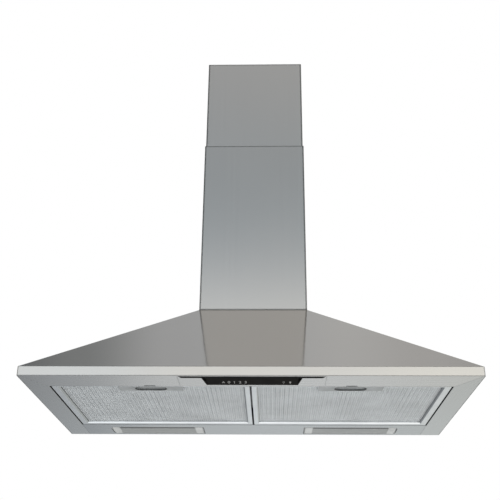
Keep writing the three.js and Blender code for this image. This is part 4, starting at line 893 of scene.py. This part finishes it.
LABEL_REAR = (-434 * MM, RIM_Z + 1.3 * MM)  # lower edge of the sloping face, as Y and Z
LABEL_FRONT = (-470 * MM, RIM_Z + 13 * MM)
LABEL_LINE = 0.2  # height of the symbols on the face, from its lower edge
PRINT_THICK = 0.06 * MM
SYMBOL = 3.3 * MM  # half height of a symbol
NUMBER_SIZE = 3.3 * SYMBOL  # of the font
NUMBER_WEIGHT = 0.12 * MM  # by which its strokes are fattened
FAN_X = -53 * MM
FIRST_NUMBER_X = -42 * MM
NUMBER_STEP = 11 * MM
LAMP_OFF_X = 66 * MM
LAMP_ON_X = 79 * MM


def on_label(x):
    """The placing of a symbol at x on the sloping label face, its top towards the front."""
    rear, front = Vector((0, *LABEL_REAR)), Vector((0, *LABEL_FRONT))
    up = (front - rear).normalized()
    outward = Vector((1, 0, 0)).cross(up)
    point = rear.lerp(front, LABEL_LINE) + Vector((x, 0, 0))
    return facing(point, outward, up)


def number_one(x):
    """A plain 1 with its upstroke, which the built-in font lacks."""
    half, stem, top = 0.17 * SYMBOL, 0.24 * SYMBOL, 1.15 * SYMBOL
    outline = (
        (half, -top),
        (half, top),
        (half - stem, top),
        (-3.6 * half, 0.62 * top),
        (-3.6 * half, 0.36 * top),
        (-half, 0.6 * top),
        (-half, -top),
    )
    solid = Solid()
    solid.plate(outline, -PRINT_THICK, PRINT_THICK, on_label(x))
    solid.add_to("number_1", PRINT, "hood")


def number_piece(number, x):
    """A number in the built-in font."""
    data = bpy.data.curves.new(f"number_{number}", "FONT")
    data.body = str(number)
    data.size = NUMBER_SIZE
    data.align_x = "CENTER"
    data.align_y = "CENTER"
    data.extrude = PRINT_THICK
    data.offset = NUMBER_WEIGHT
    text = bpy.data.objects.new(data.name, data)
    mesh = bpy.data.meshes.new_from_object(text)
    bpy.data.objects.remove(text)
    place = on_label(x)
    vertices = [place @ v.co for v in mesh.vertices]
    faces = [tuple(p.vertices) for p in mesh.polygons]
    add_piece(f"number_{number}", vertices, faces, PRINT, "hood")


def fan_symbol():
    """Three round blades about a hub."""
    solid = Solid()
    place = on_label(FAN_X)
    solid.plate(arc(0, 0, 0.2 * SYMBOL, 0, 345, 11), -PRINT_THICK, PRINT_THICK, place)
    for turn in (90, 210, 330):
        angle = math.radians(turn)
        x, y = 0.62 * SYMBOL * math.cos(angle), 0.62 * SYMBOL * math.sin(angle)
        blade = circle(x, y, 0.4 * SYMBOL, 12, turn)
        solid.plate(blade, -PRINT_THICK, PRINT_THICK, place)
    solid.add_to("fan_symbol", PRINT, "hood")


def bulb_outline(size):
    """A round bulb with its cap below."""
    globe = arc(0, 0.25 * size, 0.65 * size, -60, 240, 14)
    return globe + [(-0.3 * size, -size), (0.3 * size, -size)]


def lamp_symbols():
    """A filled lamp for on and an outlined one for off."""
    lit = Solid()
    lit.plate(bulb_outline(SYMBOL), -PRINT_THICK, PRINT_THICK, on_label(LAMP_ON_X))
    lit.add_to("lamp_symbol", PRINT, "hood")
    off = Solid()
    tube(off, bulb_outline(SYMBOL), bulb_outline(0.7 * SYMBOL), -PRINT_THICK, PRINT_THICK)
    place = on_label(LAMP_OFF_X)
    off.vertices = [tuple(place @ Vector(point)) for point in off.vertices]
    off.add_to("lamp_off_symbol", PRINT, "hood")


fan_symbol()
number_one(FIRST_NUMBER_X + NUMBER_STEP)
for number in (0, 2, 3):
    number_piece(number, FIRST_NUMBER_X + number * NUMBER_STEP)
lamp_symbols()

# ---------------------------------------------------------------- screws and rivets

RIVET_RADIUS = 3.2 * MM
RIVET_HEIGHT = 1.0 * MM
RIVET_CORNERS = 16
SCREW_RADIUS = 3.4 * MM
SCREW_HEIGHT = 1.8 * MM
CROSS_HALF = 0.45 * MM  # half width of the cross recess
CROSS_REACH = 1.7 * MM
CROSS_DEPTH = 1.1 * MM
CROSS_ANGLES = 24  # corners of the screw head, if they were evenly spaced
HEAD_UP = (0.3, 0.5, 0.8)  # turns every head alike, and lies along none of their axes
LID_INSET = 6 * MM
CARRIER_RADII = (13 * MM, 57 * MM)  # of the screws on each arm of the motor carrier
COLLAR_RIM = 8 * MM  # width of the spigot's rim
COLLAR_SHEET = 2 * MM  # and its thickness
FOOT_INSET = 6 * MM  # rivets from the free edge of the foot
FOOT_SHEET = 1 * MM


def rivet(solid, point, outward):
    """Blind rivet: a low dome with the broken pin set into its middle."""
    profile = ((1, 0), (0.97, 0.35), (0.75, 0.8), (0.5, 1), (0.34, 1), (0.3, 0.55))
    place = facing(point, outward, HEAD_UP)
    rings = []
    for part, up in profile:
        ring = circle(0, 0, part * RIVET_RADIUS, RIVET_CORNERS)
        rings.append([place @ Vector((x, y, up * RIVET_HEIGHT)) for x, y in ring])
    solid.loft(rings)


def cross_point(angle):
    """Where a ray from the middle meets the outline of the cross recess."""
    x, y = abs(math.cos(angle)), abs(math.sin(angle))
    along, aside = max(x, y), min(x, y)
    reach = min(CROSS_REACH / along, CROSS_HALF / max(aside, 1e-9))
    return reach * math.cos(angle), reach * math.sin(angle)


def screw(solid, point, outward):
    """Pan head with a cross recess."""
    place = facing(point, outward, HEAD_UP)
    step = 2 * math.pi / CROSS_ANGLES
    edge = math.atan2(CROSS_HALF, CROSS_REACH)
    angles = []
    for quarter in range(4):
        middle = quarter * math.pi / 2
        angles += [middle - edge, middle, middle + edge]
        angles += [middle + step * 1.5, middle + step * 3, middle + step * 4.5]
    rings = []
    for part, up in ((1, 0), (1, 0.45), (0.9, 0.8), (0.68, 1)):
        radius, height = part * SCREW_RADIUS, up * SCREW_HEIGHT
        rings.append([(radius * math.cos(a), radius * math.sin(a), height) for a in angles])
    for depth in (0, CROSS_DEPTH):
        rings.append([(*cross_point(a), SCREW_HEIGHT - depth) for a in angles])
    solid.loft([[place @ Vector(p) for p in ring] for ring in rings])


def row_of(start, end, count):
    """Evenly spaced points from start to end."""
    first, last = Vector(start), Vector(end)
    return [first.lerp(last, i / (count - 1)) for i in range(count)]


def lid_screws():
    """A screw in each corner of the lid of the electrics box."""
    low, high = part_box("electrics_lid")
    solid = Solid()
    for x in (low.x + LID_INSET, high.x - LID_INSET):
        for z in (low.z + LID_INSET, high.z - LID_INSET):
            screw(solid, (x, low.y, z), (0, -1, 0))
    solid.add_to("electrics_lid_screws", SCREW_STEEL, "hood")


def carrier_screws():
    """Two screws on each arm of the motor carrier."""
    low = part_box("motor_spider")[0]
    motor_low, motor_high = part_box("motor_body")
    axis_y = (motor_low.y + motor_high.y) / 2
    axis_z = (motor_low.z + motor_high.z) / 2
    solid = Solid()
    for i in range(3):
        angle = math.radians(90 + 120 * i)
        for radius in CARRIER_RADII:
            y = axis_y + radius * math.cos(angle)
            z = axis_z + radius * math.sin(angle)
            screw(solid, (low.x, y, z), (-1, 0, 0))
    solid.add_to("motor_carrier_screws", SCREW_STEEL, "hood")


def collar_screws():
    """Four screws through the rim of the duct spigot."""
    low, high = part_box("outlet_collar")
    x, y = (low.x + high.x) / 2, (low.y + high.y) / 2
    radius = (high.x - low.x) / 2 - COLLAR_RIM / 2
    solid = Solid()
    for px, py in circle(x, y, radius, 4, 45):
        screw(solid, (px, py, low.z + COLLAR_SHEET), (0, 0, 1))
    solid.add_to("outlet_collar_screws", SCREW_STEEL, "hood")


def foot_rivets():
    """Three rivets through the base of each chimney foot."""
    solid = Solid()
    for side in SIDES:
        low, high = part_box(f"chimney_foot_{side}")
        x = high.x - FOOT_INSET if side == "left" else low.x + FOOT_INSET
        z = low.z + FOOT_SHEET
        front, rear = low.y + 2 * FOOT_INSET, high.y - 2 * FOOT_INSET
        for point in row_of((x, front, z), (x, rear, z), 3):
            rivet(solid, point, (0, 0, 1))
    solid.add_to("chimney_foot_rivets", SCREW_STEEL, "hood")


lid_screws()
carrier_screws()
collar_screws()
foot_rivets()

# ---------------------------------------------------------------- floor and light

SOFTBOX_PLACE = (0.8, -2.4, 1.6)
SOFTBOX_TARGET = (0, -0.25, 0.1)
SOFTBOX_SIZE = (2.4, 1.6)
SOFTBOX_POWER = 110


def make_floor():
    """A wide sheet of paper far below the hood, which the steel doesn't mirror."""
    mesh = bpy.data.meshes.new("floor")
    corners = ((-1, -1), (1, -1), (1, 1), (-1, 1))
    z = RIM_Z - FLOOR_DROP
    vertices = [(x * FLOOR_HALF, y * FLOOR_HALF, z) for x, y in corners]
    mesh.from_pydata(vertices, [], [(0, 1, 2, 3)])
    mesh.materials.append(paper().material)
    floor = bpy.data.objects.new("floor", mesh)
    floor.visible_glossy = False
    bpy.context.collection.objects.link(floor)


make_world()
make_floor()
softbox("high_softbox", SOFTBOX_PLACE, SOFTBOX_TARGET, SOFTBOX_SIZE, SOFTBOX_POWER)
bpy.context.scene.view_settings.view_transform = "Standard"
